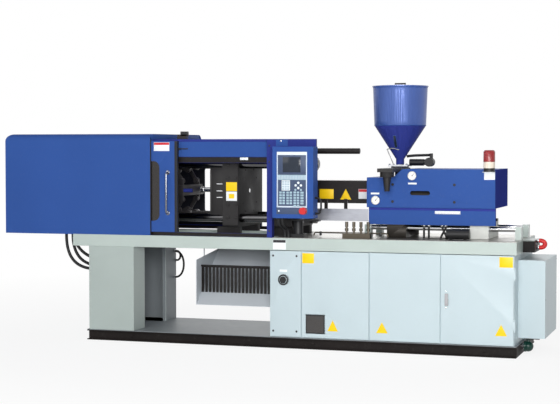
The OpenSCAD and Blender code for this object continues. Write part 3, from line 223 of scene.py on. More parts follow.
# Cast and phosphated metal: grainy, oily in places
cast = {"oil": (4, 4), "oilBand": (0.4, 0.7), "shades": (1.15, 0.75), "oilRough": -0.18, "dryRough": 0.08,
        "sand": (260, 5, 0.7), "sandDepth": (0.25, 0.001)}
castings = {
    "castIron": {"colour": srgb(60, 56, 52), "rough": 0.55, "metal": 0.5},
    "footCasting": {"colour": srgb(192, 194, 190), "rough": 0.50, "metal": 0.2},
    "platenMetal": {"colour": srgb(24, 22, 23), "rough": 0.58, "metal": 0.2},
    "linkIron": {"colour": srgb(52, 50, 52), "rough": 0.42, "metal": 0.6},
    "slideBlock": {"colour": srgb(36, 34, 35), "rough": 0.48, "metal": 0.4},
}
for name, p in castings.items():
    f = Finish(name, Metallic=p["metal"], Roughness=p["rough"])
    oil = f.ramp(f.noise(*cast["oil"]), *cast["oilBand"])
    f.feed("Base Color", f.mix(oil, *(scaled(p["colour"], shade) for shade in cast["shades"])))
    f.feed("Roughness", oil * cast["oilRough"] + (p["rough"] + cast["dryRough"]))
    f.bump(f.noise(*cast["sand"]), *cast["sandDepth"])
    finishes[name] = f

# Plastic, rubber and printed card
moulded = {"cloud": (12, 3), "shades": (0.93, 1.07), "waver": 0.10, "gloss": 0.35,
           "grain": (700, 2), "grainDepth": 0.0004}
plastics = {
    "blackPlastic": {"colour": srgb(24, 24, 26), "rough": 0.42, "grain": 0.12},
    "hoseRubber": {"colour": srgb(20, 20, 22), "rough": 0.48, "grain": 0.20},
    # The door edge's rubber, and the painted shadow strip on the casing's edge
    "sealRubber": {"colour": srgb(18, 18, 20), "rough": 0.60, "grain": 0.15},
    "greenPlastic": {"colour": srgb(12, 52, 44), "rough": 0.30, "grain": 0.05},
    "redPlastic": {"colour": srgb(206, 46, 48), "rough": 0.30, "grain": 0.04},
    "redHose": {"colour": srgb(200, 34, 34), "rough": 0.40, "grain": 0.10},
    "lampIvory": {"colour": srgb(228, 216, 200), "rough": 0.42, "grain": 0.05},
    "whiteCard": {"colour": srgb(236, 240, 242), "rough": 0.50, "grain": 0.03},
    "labelYellow": {"colour": srgb(250, 205, 8), "rough": 0.42, "grain": 0.03},
    "labelRed": {"colour": srgb(205, 40, 50), "rough": 0.42, "grain": 0.03},
    "labelDark": {"colour": srgb(40, 38, 42), "rough": 0.45, "grain": 0.03},
    "bezelPale": {"colour": srgb(206, 218, 230), "rough": 0.42, "grain": 0.04},
    "slatePanel": {"colour": srgb(62, 76, 104), "rough": 0.42, "grain": 0.05},
    "keyWhite": {"colour": srgb(226, 234, 238), "rough": 0.45, "grain": 0.03},
    "keyPale": {"colour": srgb(175, 192, 204), "rough": 0.45, "grain": 0.03},
    "keyCyan": {"colour": srgb(158, 184, 198), "rough": 0.45, "grain": 0.03},
    "screenGlass": {"colour": srgb(36, 44, 56), "rough": 0.12, "grain": 0.0},
}
for name, p in plastics.items():
    f = Finish(name, Roughness=p["rough"], Specular_IOR_Level=moulded["gloss"])
    cloud = f.noise(*moulded["cloud"])
    f.feed("Base Color", f.mix(cloud, *(scaled(p["colour"], shade) for shade in moulded["shades"])))
    f.feed("Roughness", cloud * moulded["waver"] + (p["rough"] - moulded["waver"] / 2))
    if p["grain"]:
        f.bump(f.noise(*moulded["grain"]), p["grain"], moulded["grainDepth"])
    finishes[name] = f

# Smoked pane of the door
pane = {"cloud": (5, 3), "dark": srgb(34, 31, 30), "pale": srgb(48, 44, 42), "waver": (30, 3), "waverDepth": 0.08,
        "rough": 0.08}
f = Finish("smokedPane", Roughness=0.12, Alpha=0.95)
f.feed("Base Color", f.mix(f.noise(*pane["cloud"]), pane["dark"], pane["pale"]))
f.feed("Roughness", f.noise(*pane["waver"]) * pane["waverDepth"] + pane["rough"])
finishes["smokedPane"] = f

# Ribbed lens of the alarm lamp
lens = {"centre": (1.812, -0.348, 0), "ribs": 48, "dark": srgb(84, 4, 8), "bright": srgb(186, 20, 26),
        "ribDepth": (0.4, 0.001)}
f = Finish("redLens", Roughness=0.22, Alpha=0.94, Coat_Weight=0.15, Coat_Roughness=0.10)
spoke = f.node("ShaderNodeVectorMath", {"operation": "SUBTRACT"}, {0: f.place, 1: lens["centre"]})
angle = f.node("ShaderNodeTexGradient", {"gradient_type": "RADIAL"}, {0: spoke}, "Fac")
rib = (angle * (lens["ribs"] * 2 * pi)).math("SINE") * 0.5 + 0.5
f.feed("Base Color", f.mix(rib, lens["dark"], lens["bright"]))
f.bump(rib, *lens["ribDepth"])
finishes["redLens"] = f

dial = {"cloud": (60, 2), "dark": srgb(232, 230, 224), "pale": srgb(244, 243, 238)}
f = Finish("gaugeFace", Roughness=0.35)
f.feed("Base Color", f.mix(f.noise(*dial["cloud"]), dial["dark"], dial["pale"]))
finishes["gaugeFace"] = f

# Woven filter screen of the tank's vent; the dark ground between its wires is painted shade, for the unlit tank behind
# it
screen = {"pitch": 0.0045, "dark": srgb(20, 18, 18), "wire": srgb(74, 70, 68),
          "wireBand": (0.5, 0.95), "wireDepth": (0.3, 0.0006)}
f = Finish("filterScreen", Roughness=0.55)
waves = [(f.axis(name) * (2 * pi / screen["pitch"])).math("SINE") for name in "XZ"]
wires = waves[0].math("MAXIMUM", waves[1])
f.feed("Base Color", f.mix(f.ramp(wires, *screen["wireBand"]), screen["dark"], screen["wire"]))
f.bump(wires, *screen["wireDepth"])
finishes["filterScreen"] = f
print("finishes made:", len(finishes))


def fresh(name, bm, body, finish, smooth=35):  # a piece from a bmesh, with one finish or a list
    mesh = bpy.data.meshes.new(name)
    bmesh.ops.recalc_face_normals(bm, faces=bm.faces)
    bm.to_mesh(mesh)
    bm.free()
    obj = bpy.data.objects.new(name, mesh)
    scene.collection.objects.link(obj)
    for each in finish if isinstance(finish, list) else [finish]:
        mesh.materials.append(finishes[each].mat)
    mesh.shade_smooth()
    mesh.set_sharp_from_angle(angle=radians(smooth))
    if body:
        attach(obj, body)
    return obj


def setFinish(faces, index):
    for face in faces:
        face.material_index = index


def breakEdges(bm, edges, width, index):
    if width:
        made = bmesh.ops.bevel(bm, geom=edges, offset=width, segments=2, affect="EDGES", profile=0.5)
        setFinish(made["faces"], index)


def facing(centre, axis):  # a turn from +Z to the axis, and a move to the centre
    turn = Vector((0, 0, 1)).rotation_difference(Vector(axis).normalized()).to_matrix().to_4x4()
    return Matrix.Translation(Vector(centre)) @ turn


def addBox(bm, low, high, edge=0.0, index=0, turn=Matrix()):
    low, high = Vector(low), Vector(high)
    made = bmesh.ops.create_cube(bm, size=1)["verts"]
    matrix = Matrix.Translation((low + high) / 2) @ turn @ Matrix.Diagonal((*(high - low), 1))
    bmesh.ops.transform(bm, matrix=matrix, verts=made)
    setFinish([face for v in made for face in v.link_faces], index)
    breakEdges(bm, list(dict.fromkeys(e for v in made for e in v.link_edges)), edge, index)


def addDisc(bm, centre, axis, radius, depth, segments=32, index=0, edge=0.0):
    matrix = facing(centre, axis) @ Matrix.Translation((0, 0, depth / 2))
    made = bmesh.ops.create_cone(bm, cap_ends=True, segments=segments, radius1=radius, radius2=radius,
                                 depth=depth, matrix=matrix)["verts"]
    setFinish([face for v in made for face in v.link_faces], index)
    rims = [e for e in dict.fromkeys(e for v in made for e in v.link_edges)
            if abs(e.link_faces[0].normal.dot(e.link_faces[1].normal)) < 0.5]
    breakEdges(bm, rims, edge, index)


def spokes(segments):
    return [(cos(2 * pi * k / segments), sin(2 * pi * k / segments)) for k in range(segments)]


def addSkin(bm, rings, index):  # walls from ring to ring, and both ends closed
    for lower, upper in zip(rings, rings[1:]):
        for k in range(len(lower)):
            n = (k + 1) % len(lower)
            bm.faces.new((lower[k], lower[n], upper[n], upper[k])).material_index = index
    for ring in (rings[0], rings[-1]):
        bm.faces.new(ring).material_index = index


def addLathe(bm, centre, axis, profile, segments=48, index=0):  # profile: (radius, height)
    matrix = facing(centre, axis)
    addSkin(bm, [[bm.verts.new(matrix @ Vector((radius * c, radius * s, height))) for c, s in spokes(segments)]
                 for radius, height in profile], index)


def addTube(bm, points, radius, segments=12, index=0):
    points = [Vector(p) for p in points]
    rings = []
    side = None
    for before, p, after in zip(points[:1] + points, points, points[1:] + points[-1:]):
        ahead = (after - before).normalized()
        side = side or ahead.orthogonal().normalized()
        side = (side - ahead * side.dot(ahead)).normalized()
        other = ahead.cross(side)
        rings.append([bm.verts.new(p + radius * (c * side + s * other)) for c, s in spokes(segments)])
    addSkin(bm, rings, index)


def bezier(a, b, c, d, count):
    a, b, c, d = (Vector(v) for v in (a, b, c, d))
    return [((1 - t) ** 3) * a + 3 * t * (1 - t) ** 2 * b + 3 * t * t * (1 - t) * c + t ** 3 * d
            for t in (i / count for i in range(count + 1))]


def rounded(points, radius, count):  # a path with its corners rounded off
    points = [Vector(p) for p in points]
    path = [points[0]]
    for before, corner, after in zip(points, points[1:], points[2:]):
        start = corner + (before - corner).normalized() * radius
        end = corner + (after - corner).normalized() * radius
        path += [(1 - t) ** 2 * start + 2 * t * (1 - t) * corner + t * t * end
                 for t in (i / count for i in range(count + 1))]
    return path + [points[-1]]


# boxes: (low, high, edge, finish); discs: (centre, axis, radius, depth, segments, edge, finish);
# tubes: (points, bend, steps in a bend, radius, segments, finish)
def smallPiece(name, body, finish, slot, boxes=(), discs=(), tubes=()):
    bm = bmesh.new()
    for low, high, edge, index in boxes:
        addBox(bm, low, high, edge, index)
    for centre, axis, radius, depth, segments, edge, index in discs:
        addDisc(bm, centre, axis, radius, depth, segments, index, edge)
    for points, bend, steps, radius, segments, index in tubes:
        addTube(bm, rounded(points, bend, steps), radius, segments, index)
    return fresh(name, bm, body, finish)


# How each node is finished, and how wide its edges are broken, as the real sheet's and castings' are
dressing = {
    "base_frame": ("railPaint", 0.0015), "floor_plate": ("platePaint", 0.001), "clamp_legs": ("legPaint", 0.004),
    "bed_frame": ("greyPaint", 0.003), "bed_deck": ("deckSheet", 0), "chute": ("chutePaint", 0),
    "cabinet_shell": ("panelPaint", 0), "cover_panels": ("panelPaint", 0.0025), "pump_motor": ("deepBluePaint", 0),
    "electrics_plate": ("blackPlastic", 0.002), "end_cabinet": ("panelPaint", 0.004),
    "end_box": ("blackPaint", 0.003), "clamp_casing": ("bluePaint", 0), "guard_frame": ("deepBluePaint", 0.0015),
    "control_box": ("bluePaint", 0.006), "grease_pump": ("blackPlastic", 0.003),
    "stationary_platen": ("platenMetal", 0.004), "tie_bars": ("tieSteel", 0.003),
    "water_manifold": ("bronzeFitting", 0.0015), "carriage_rails": ("brightSteel", 0.002),
    "drain_valve": ("greenPlastic", 0.002), "tail_platen": ("deepBluePaint", 0),
    "clamp_cylinder": ("deepBluePaint", 0.003), "moving_platen": ("platenMetal", 0.004),
    "ejector_cylinder": ("deepBluePaint", 0.003), "safety_bar": ("blackPaint", 0.003),
    "ejector_rod": ("brightSteel", 0.001), "rear_link_upper": ("linkIron", 0.002),
    "rear_link_lower": ("linkIron", 0.002), "front_link_upper": ("linkIron", 0.002),
    "front_link_lower": ("linkIron", 0.002), "crosshead": ("linkIron", 0.002),
    "crosshead_link_upper": ("linkIron", 0.002), "crosshead_link_lower": ("linkIron", 0.002),
    "front_door": ("bluePaint", 0.002), "door_window": ("smokedPane", 0.001), "rear_door": ("deepBluePaint", 0.002),
    "cabinet_door": ("panelPaint", 0.0025), "door_latch": ("groundSteel", 0.002),
    "emergency_stop": ("redPlastic", 0.004), "chute_gate": ("blackPaint", 0.002),
    "drain_lever": ("blackPlastic", 0.002), "carriage": ("castIron", 0.003), "barrel": ("groundSteel", 0.002),
    "barrel_guard": ("blackPaint", 0.003), "drip_tray": ("polishedSheet", 0.0004),
    "upper_cover": ("bluePaint", 0.003), "lower_cover": ("bluePaint", 0.004), "alarm_lamp": ("whiteCard", 0.002),
    "feed_slide": ("slideBlock", 0.003), "screw_drive": ("castIron", 0.003), "screw": ("brightSteel", 0),
    "hopper": ("hopperPaint", 0.0008), "hopper_lid": ("hopperPaint", 0.001), "air_duct": ("blackPlastic", 0.0015),
    "control_panel": ("slatePanel", 0), "lamp_lens": ("redLens", 0.003), "gauges": ("brightSteel", 0),
    "door_handle": ("handleChrome", 0), "hoses": ("hoseRubber", 0),
}
# Parts of a node with another finish: (finish, lowest corner, highest corner) of the faces' middles
zones = {
    "cover_panels": [("blackPlastic", (0.100, -0.530, 0.500), (0.230, -0.4945, 0.620))],
    "end_box": [("greyPaint", (2.0, -0.3, 0.891), (2.3, 0.2, 0.910))],
    "guard_frame": [("blackPaint", (-1.500, -0.500, 0.896), (-0.001, -0.42, 0.940)),
                    ("blackPaint", (-1.0145, -0.4355, 1.500), (0.001, -0.404, 1.560)),
                    ("bluePaint", (-1.400, -0.4455, 1.560), (0.001, -0.4445, 1.710)),
                    ("blackPaint", (-0.800, -0.445, 1.7051), (-0.700, -0.40, 1.760)),
                    ("blackPaint", (-1.500, 0.500, 0.830), (-0.001, 0.640, 0.940))],
    "front_door": [("sealRubber", (-0.8001, -0.520, 0.900), (-0.773, -0.440, 1.720))],
    # The rear door's inside face is painted near black as painted shade
    "rear_door": [("paintedShade", (-1.600, 0.590, 0.930), (-0.400, 0.6286, 1.620))],
    "drip_tray": [("blackPaint", (0.380, -0.2995, 1.080), (0.600, -0.090, 1.320))],
    "electrics_plate": [("brightSteel", (1.40, 0.0995, 0.0), (2.06, 0.110, 0.9))],
    "carriage_rails": [("greyPaint", (0.7695, -0.2305, 0.902), (0.8205, 0.2305, 1.008)),
                       ("greyPaint", (1.9995, -0.2305, 0.902), (2.0505, 0.2305, 1.008))],
    # The covers' right side faces get the darker blue as painted shade
    "upper_cover": [("sideBluePaint", (1.8525, -0.400, 1.000), (1.860, 0.400, 1.500))],
    "lower_cover": [("sideBluePaint", (1.8525, -0.400, 0.900), (1.860, 0.400, 1.200))],
    # The rear leg's faces get the darker plate grey as painted shade
    "clamp_legs": [("platePaint", (-1.600, 0.2045, 0.100), (-1.150, 0.4505, 0.810))],
    # The rear beam's inner faces are painted near black as painted shade
    "bed_frame": [("paintedShade", (-1.900, 0.400, 0.806), (2.000, 0.4985, 0.9085))],
    "carriage": [("footCasting", (1.6401, -0.30, 0.900), (1.900, 0.30, 1.032))],
    "alarm_lamp": [("blackPlastic", (1.700, -0.500, 1.4445), (1.900, -0.25, 1.4738)),
                   ("lampIvory", (1.700, -0.500, 1.4740), (1.900, -0.25, 1.530))],
    # The hopper's cone gets the darker blue as painted shade, for its downward-facing wall
    "hopper": [("deepBluePaint", (0.780, -0.235, 1.4965), (1.245, 0.235, 1.8172)),
               ("flangeSteel", (0.929, -0.083, 1.4812), (1.095, 0.083, 1.4964)),
               ("slideBlock", (0.950, -0.076, 1.4690), (1.071, 0.076, 1.4811))],
    "hopper_lid": [("blackPlastic", (0.960, -0.02, 2.1505), (1.065, 0.02, 2.180))],
    "screw_drive": [("brightSteel", (1.0, -0.211, 1.245), (1.4199, -0.169, 1.296)),
                    ("brightSteel", (1.0, 0.169, 1.245), (1.4199, 0.211, 1.296))],
    "drain_valve": [("brightSteel", (2.05, -0.23, 0.03), (2.0745, -0.17, 0.09))],
}
bodyOf = {node: body for body, nodes in frame["record"]["behaviour"]["bodies"].items() for node in nodes}
slotOf = {part["node"]: part["material_slot"] for part in frame["record"]["subparts"]}
cuts = {"front_door": -0.800, "carriage": 1.640}  # an X at which a flat face changes finish
breaking = {"join": 1e-6, "flat": 0.5, "sharp": 40, "smooth": 24, "sheetSmooth": 35}  # metres, then degrees


def zoneFaces(bm, node):
    if node in cuts:
        whole = list(bm.verts) + list(bm.edges) + list(bm.faces)
        bmesh.ops.bisect_plane(bm, geom=whole, plane_co=(cuts[node], 0, 0), plane_no=(1, 0, 0))
    for index, (_, low, high) in enumerate(zones.get(node, []), 1):
        inside = [face for face in bm.faces
                  if all(a <= middle <= b for a, middle, b in zip(low, face.calc_center_median(), high))]
        setFinish(inside, index)


def broken(node, finish, width):
    bm = bmesh.new()
    bm.from_mesh(frame["nodes"][node].data)
    bmesh.ops.remove_doubles(bm, verts=bm.verts, dist=breaking["join"])
    bmesh.ops.dissolve_limit(bm, angle_limit=radians(breaking["flat"]), verts=bm.verts, edges=bm.edges)
    setFinish(bm.faces, 0)
    zoneFaces(bm, node)
    sharp = [e for e in bm.edges if len(e.link_faces) == 2 and e.calc_face_angle(0) > radians(breaking["sharp"])]
    bmesh.ops.bevel(bm, geom=sharp, offset=width, segments=2, affect="EDGES", profile=0.5, clamp_overlap=True)
    named = [finish] + [zone[0] for zone in zones.get(node, [])]
    piece = fresh(node + "_made", bm, bodyOf[node], named, breaking["smooth"])
    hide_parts(node)


for node, (finish, width) in dressing.items():
    if width:
        broken(node, finish, width)
    mesh = frame["nodes"][node].data
    mesh.materials.clear()
    mesh.materials.append(finishes[finish].mat)
    mesh.shade_smooth()
    mesh.set_sharp_from_angle(angle=radians(breaking["sheetSmooth"]))
print("nodes dressed:", len(dressing))

toFront, toRear, toLeft, toRight, upward, downward = (0, -1, 0), (0, 1, 0), (-1, 0, 0), (1, 0, 0), (0, 0, 1), (0, 0, -1)

# Everything on the panel is measured from its lower left corner
panel = {
    "corner": (0.145, 1.155), "face": -0.629, "keyFace": -0.6318, "keyEdge": 0.0009, "buttonDepth": 0.003,
    "finish": ["bezelPale", "slatePanel", "keyWhite", "screenGlass", "keyCyan", "keyPale"],
    "plates": [  # left, right, low, high, rise of front and of back from the face, edge, finish
        (0, 0.254, 0, 0.447, 0, -0.004, 0.0015, "bezelPale"),
        (0.010, 0.246, 0.012, 0.421, 0.0008, 0, 0, "slatePanel"),
        (0.002, 0.252, 0.423, 0.444, 0.001, 0, 0, "keyWhite"),
        (0.010, 0.245, 0.271, 0.419, 0.0035, 0, 0.0015, "slatePanel"),
        (0.052, 0.201, 0.282, 0.405, 0.0042, 0.003, 0.0004, "screenGlass"),
        (0.010, 0.246, 0.222, 0.262, 0.0012, 0, 0, "keyCyan"),
        (0.042, 0.112, 0.136, 0.219, 0.0012, 0, 0.0005, "keyWhite"),
        (-0.004, 0.258, -0.054, -0.002, -0.0026, -0.0042, 0.0005, "slatePanel"),
    ],
    "keys": [  # left, low, columns, rows, steps across and up, width, height, finish
        (0.013, 0.226, 10, 1, 0.0235, 0, 0.018, 0.030, "keyPale"),
        (0.046, 0.140, 3, 4, 0.0215, 0.0195, 0.018, 0.015, "keyPale"),
        (0.022, 0.026, 2, 5, 0.0270, 0.0215, 0.021, 0.016, "keyCyan"),
        (0.082, 0.026, 2, 5, 0.0270, 0.0215, 0.021, 0.016, "keyCyan"),
        (0.142, 0.006, 2, 6, 0.0270, 0.0215, 0.021, 0.016, "keyCyan"),
        (0.200, 0.026, 1, 5, 0.0270, 0.0215, 0.026, 0.016, "keyCyan"),
    ],
    "buttons": [  # across, up, radius, finish
        (0.204, 0.178, 0.010, "keyWhite"), (0.182, 0.199, 0.010, "keyWhite"), (0.160, 0.178, 0.010, "keyWhite"),
        (0.182, 0.157, 0.010, "keyWhite"), (0.158, 0.142, 0.009, "keyCyan"), (0.204, 0.142, 0.009, "keyCyan"),
    ],
}


def operatorPanel():
    bm = bmesh.new()
    (left, low), face, indexOf = panel["corner"], panel["face"], panel["finish"].index
    for x0, x1, z0, z1, rise, foot, edge, finish in panel["plates"]:
        addBox(bm, (left + x0, face - rise, low + z0), (left + x1, face - foot, low + z1), edge, indexOf(finish))
    for x, z, columns, rows, stepX, stepZ, wide, high, finish in panel["keys"]:
        for i in range(columns):
            for j in range(rows):
                x0, z0 = left + x + i * stepX, low + z + j * stepZ
                addBox(bm, (x0, panel["keyFace"], z0), (x0 + wide, face, z0 + high), panel["keyEdge"], indexOf(finish))
    for x, z, radius, finish in panel["buttons"]:
        addDisc(bm, (left + x, face, low + z), toFront, radius, panel["buttonDepth"], 20, indexOf(finish), 0.001)
    piece = fresh("operator_panel", bm, bodyOf["control_panel"], panel["finish"])
    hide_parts("control_panel")


operatorPanel()

collar = {"centre": (0.367, -0.6262, 1.129), "segments": 40,
          "profile": [(0.030, 0), (0.030, 0.0020), (0.028, 0.0035), (0.0165, 0.0035), (0.0165, 0)]}
bm = bmesh.new()
addLathe(bm, collar["centre"], toFront, collar["profile"], collar["segments"])
fresh("stop_collar", bm, "bed", "redPlastic")
print("operator panel made")

gauge = {"places": [(1.186, 1.410), (0.885, 1.210)], "front": -0.300, "radius": 0.037, "depth": 0.026,
         "dialRadius": 0.0315, "dialDepth": 0.018, "hub": (0.0038, 0.003), "sweep": (-130, 260), "ticks": 24,
         "tick": (0.029, (0.0004, 0.0004, 0.0018)), "longTick": (0.029, (0.0007, 0.0004, 0.003)), "longEvery": 4,
         "needleAt": 40, "needle": (0.009, (0.0011, 0.0004, 0.015)), "needleLift": 0.001}


def addMark(bm, centre, degrees, mark):  # a bar on a dial: (reach, half size)
    turned = radians(degrees)
    reach, half = mark[0], Vector(mark[1])
    middle = Vector(centre) + Vector((sin(turned) * reach, 0, cos(turned) * reach))
    addBox(bm, middle - half, middle + half, 0, 2, Matrix.Rotation(turned, 4, "Y"))


def gaugePiece():
    bm = bmesh.new()
    r, front, depth = gauge["radius"], gauge["front"], gauge["depth"]
    rim = [(r, 0), (r, depth - 0.003), (r - 0.0015, depth),
           (r - 0.004, depth), (r - 0.005, depth - 0.006), (r - 0.006, 0.002)]
    face = front - gauge["dialDepth"]
    for x, z in gauge["places"]:
        addLathe(bm, (x, front, z), toFront, rim, 48, 0)
        addDisc(bm, (x, front, z), toFront, gauge["dialRadius"], gauge["dialDepth"], 40, 1)
        for k in range(gauge["ticks"] + 1):
            start, sweep = gauge["sweep"]
            mark = gauge["tick" if k % gauge["longEvery"] else "longTick"]
            addMark(bm, (x, face, z), start + sweep * k / gauge["ticks"], mark)
        addMark(bm, (x, face - gauge["needleLift"], z), gauge["needleAt"], gauge["needle"])
        addDisc(bm, (x, face, z), toFront, *gauge["hub"], 20, 2)
    piece = fresh("gauge_pair", bm, "carriage", ["brightSteel", "gaugeFace", "labelDark"])
    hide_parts("gauges")


gaugePiece()
print("gauges made")

handle = {"x": -0.860, "ends": (1.088, 1.427), "door": -0.485, "front": -0.521, "bend": 0.022, "radius": 0.0085,
          "foot": (0.018, 0.004), "screw": (0.003, 0.0022), "screws": (-0.013, 0.013)}
h = handle
low, high = h["ends"]
route = [(h["x"], h["door"], low), (h["x"], h["front"], low), (h["x"], h["front"], high), (h["x"], h["door"], high)]
feet = [((h["x"], h["door"], z), toFront, *h["foot"], 32, 0.0015, 0) for z in h["ends"]]
feet += [((h["x"] + dx, h["door"] - h["foot"][1], z), toFront, *h["screw"], 12, 0, 0)
         for z in h["ends"] for dx in h["screws"]]
piece = smallPiece("door_grip", "front_door", "handleChrome", slotOf["door_handle"], discs=feet,
                   tubes=[(route, h["bend"], 8, h["radius"], 20, 0)])
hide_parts("door_handle")

hose = {
    "radius": 0.013, "top": 0.963, "deck": 0.873, "leg": -1.580, "lead": 0.040,
    "drops": [  # clamp cylinder to the front leg: x, y, z, height and side pulls, steps
        (-1.897, -0.285, 0.585, 0.655, (-1.787, 0.585), 22), (-1.852, -0.251, 0.615, 0.685, (-1.742, 0.615), 22),
        (-1.800, -0.330, 0.690, 0.790, (-1.700, 0.700), 18)],
    "boxX": (0.140, 0.170), "boxShift": 0.025, "boxY": (-0.56, -0.47),
    "boxZ": (1.068, 1.053, 0.978, 1.013, 0.923, 0.903),
    "boxRadius": 0.012, "boxNuts": ((0.017, 0.014), (0.016, 0.010)), "loopLead": 0.015,
    "loops": [  # rear leg, and end box back to the bed: x, y, out, high, low, belly, radius, segments, nut, finish
        (-1.167, 0.400, 0.120, 0.703, 0.470, 0, 0.009, 12, (0.015, 0.010), 0),
        (-1.167, 0.430, 0.060, 0.703, 0.620, 0, 0.009, 12, (0.015, 0.010), 0),
        (2.150, -0.060, 0.080, 0.892, 0.838, 0.008, 0.018, 14, (0.022, 0.018), 2)],
    "nut": (0.006, 0.012), "ferrule": (0.003, 0.026),
}


def hosePiece():
    bm = bmesh.new()
    r, leg = hose["radius"], hose["leg"]
    for x, y, z, drop, (sideX, sideZ), steps in hose["drops"]:
        path = bezier((x, y, hose["deck"]), (x, y, drop), (sideX, y, sideZ), (leg - hose["lead"], y, z), steps)
        addTube(bm, [(x, y, hose["top"])] + path + [(leg, y, z)], r, 14)
        (wider, long), (wide, longer) = hose["nut"], hose["ferrule"]
        addDisc(bm, (leg, y, z), toLeft, r + wider, long, 6, 1, 0.0012)
        addDisc(bm, (leg - long, y, z), toLeft, r + wide, longer, 24, 1, 0.001)
    for x, y, out, high, low, belly, radius, segments, nut, index in hose["loops"]:
        start = x + hose["loopLead"]
        path = bezier((start, y, high), (x + out, y, high + belly), (x + out, y, low - belly), (start, y, low), 20)
        addTube(bm, [(x, y, high)] + path + [(x, y, low)], radius, segments, index)
        for z in (high, low):
            addDisc(bm, (x, y, z), toRight, *nut, 6, 1, 0.001)
    (y0, y1), (top, z0, z1, z2, z3, foot), (upper, lower) = hose["boxY"], hose["boxZ"], hose["boxNuts"]
    for x in hose["boxX"]:  # operator box to the deck
        end = x + hose["boxShift"]
        path = bezier((x, y0, z0), (x, y0, z1), (end, y1, z2), (end, y1, z3), 16)
        addTube(bm, [(x, y0, top)] + path + [(end, y1, foot)], hose["boxRadius"], 14)
        addDisc(bm, (x, y0, top), downward, *upper, 20, 0, 0.001)
        addDisc(bm, (end, y1, foot), upward, *lower, 20, 0, 0.001)
    piece = fresh("hose_lines", bm, "bed", ["hoseRubber", "brightSteel", "redHose"])
    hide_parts("hoses")


hosePiece()

# Short hoses from the slot in the deck to the carriage's rail
feed = {"radius": 0.0085, "y": -0.213, "low": 0.890, "pulls": (0.935, 0.965), "high": 1.012, "nut": (0.0125, 0.012),
        "runs": ((1.262, 1.262), (1.302, 1.302), (1.398, 1.442), (1.450, 1.410))}
bm = bmesh.new()
y, (pull0, pull1) = feed["y"], feed["pulls"]
for x0, x1 in feed["runs"]:
    path = bezier((x0, y, feed["low"]), (x0, y, pull0), (x1, y, pull1), (x1, y, feed["high"]), 14)
    addTube(bm, path, feed["radius"], 12)
    addDisc(bm, (x1, y, feed["high"] - feed["nut"][1]), upward, *feed["nut"], 6, 1, 0.001)
piece = fresh("carriage_hoses", bm, None, ["hoseRubber", "brightSteel"])
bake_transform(piece)
print("hoses made")

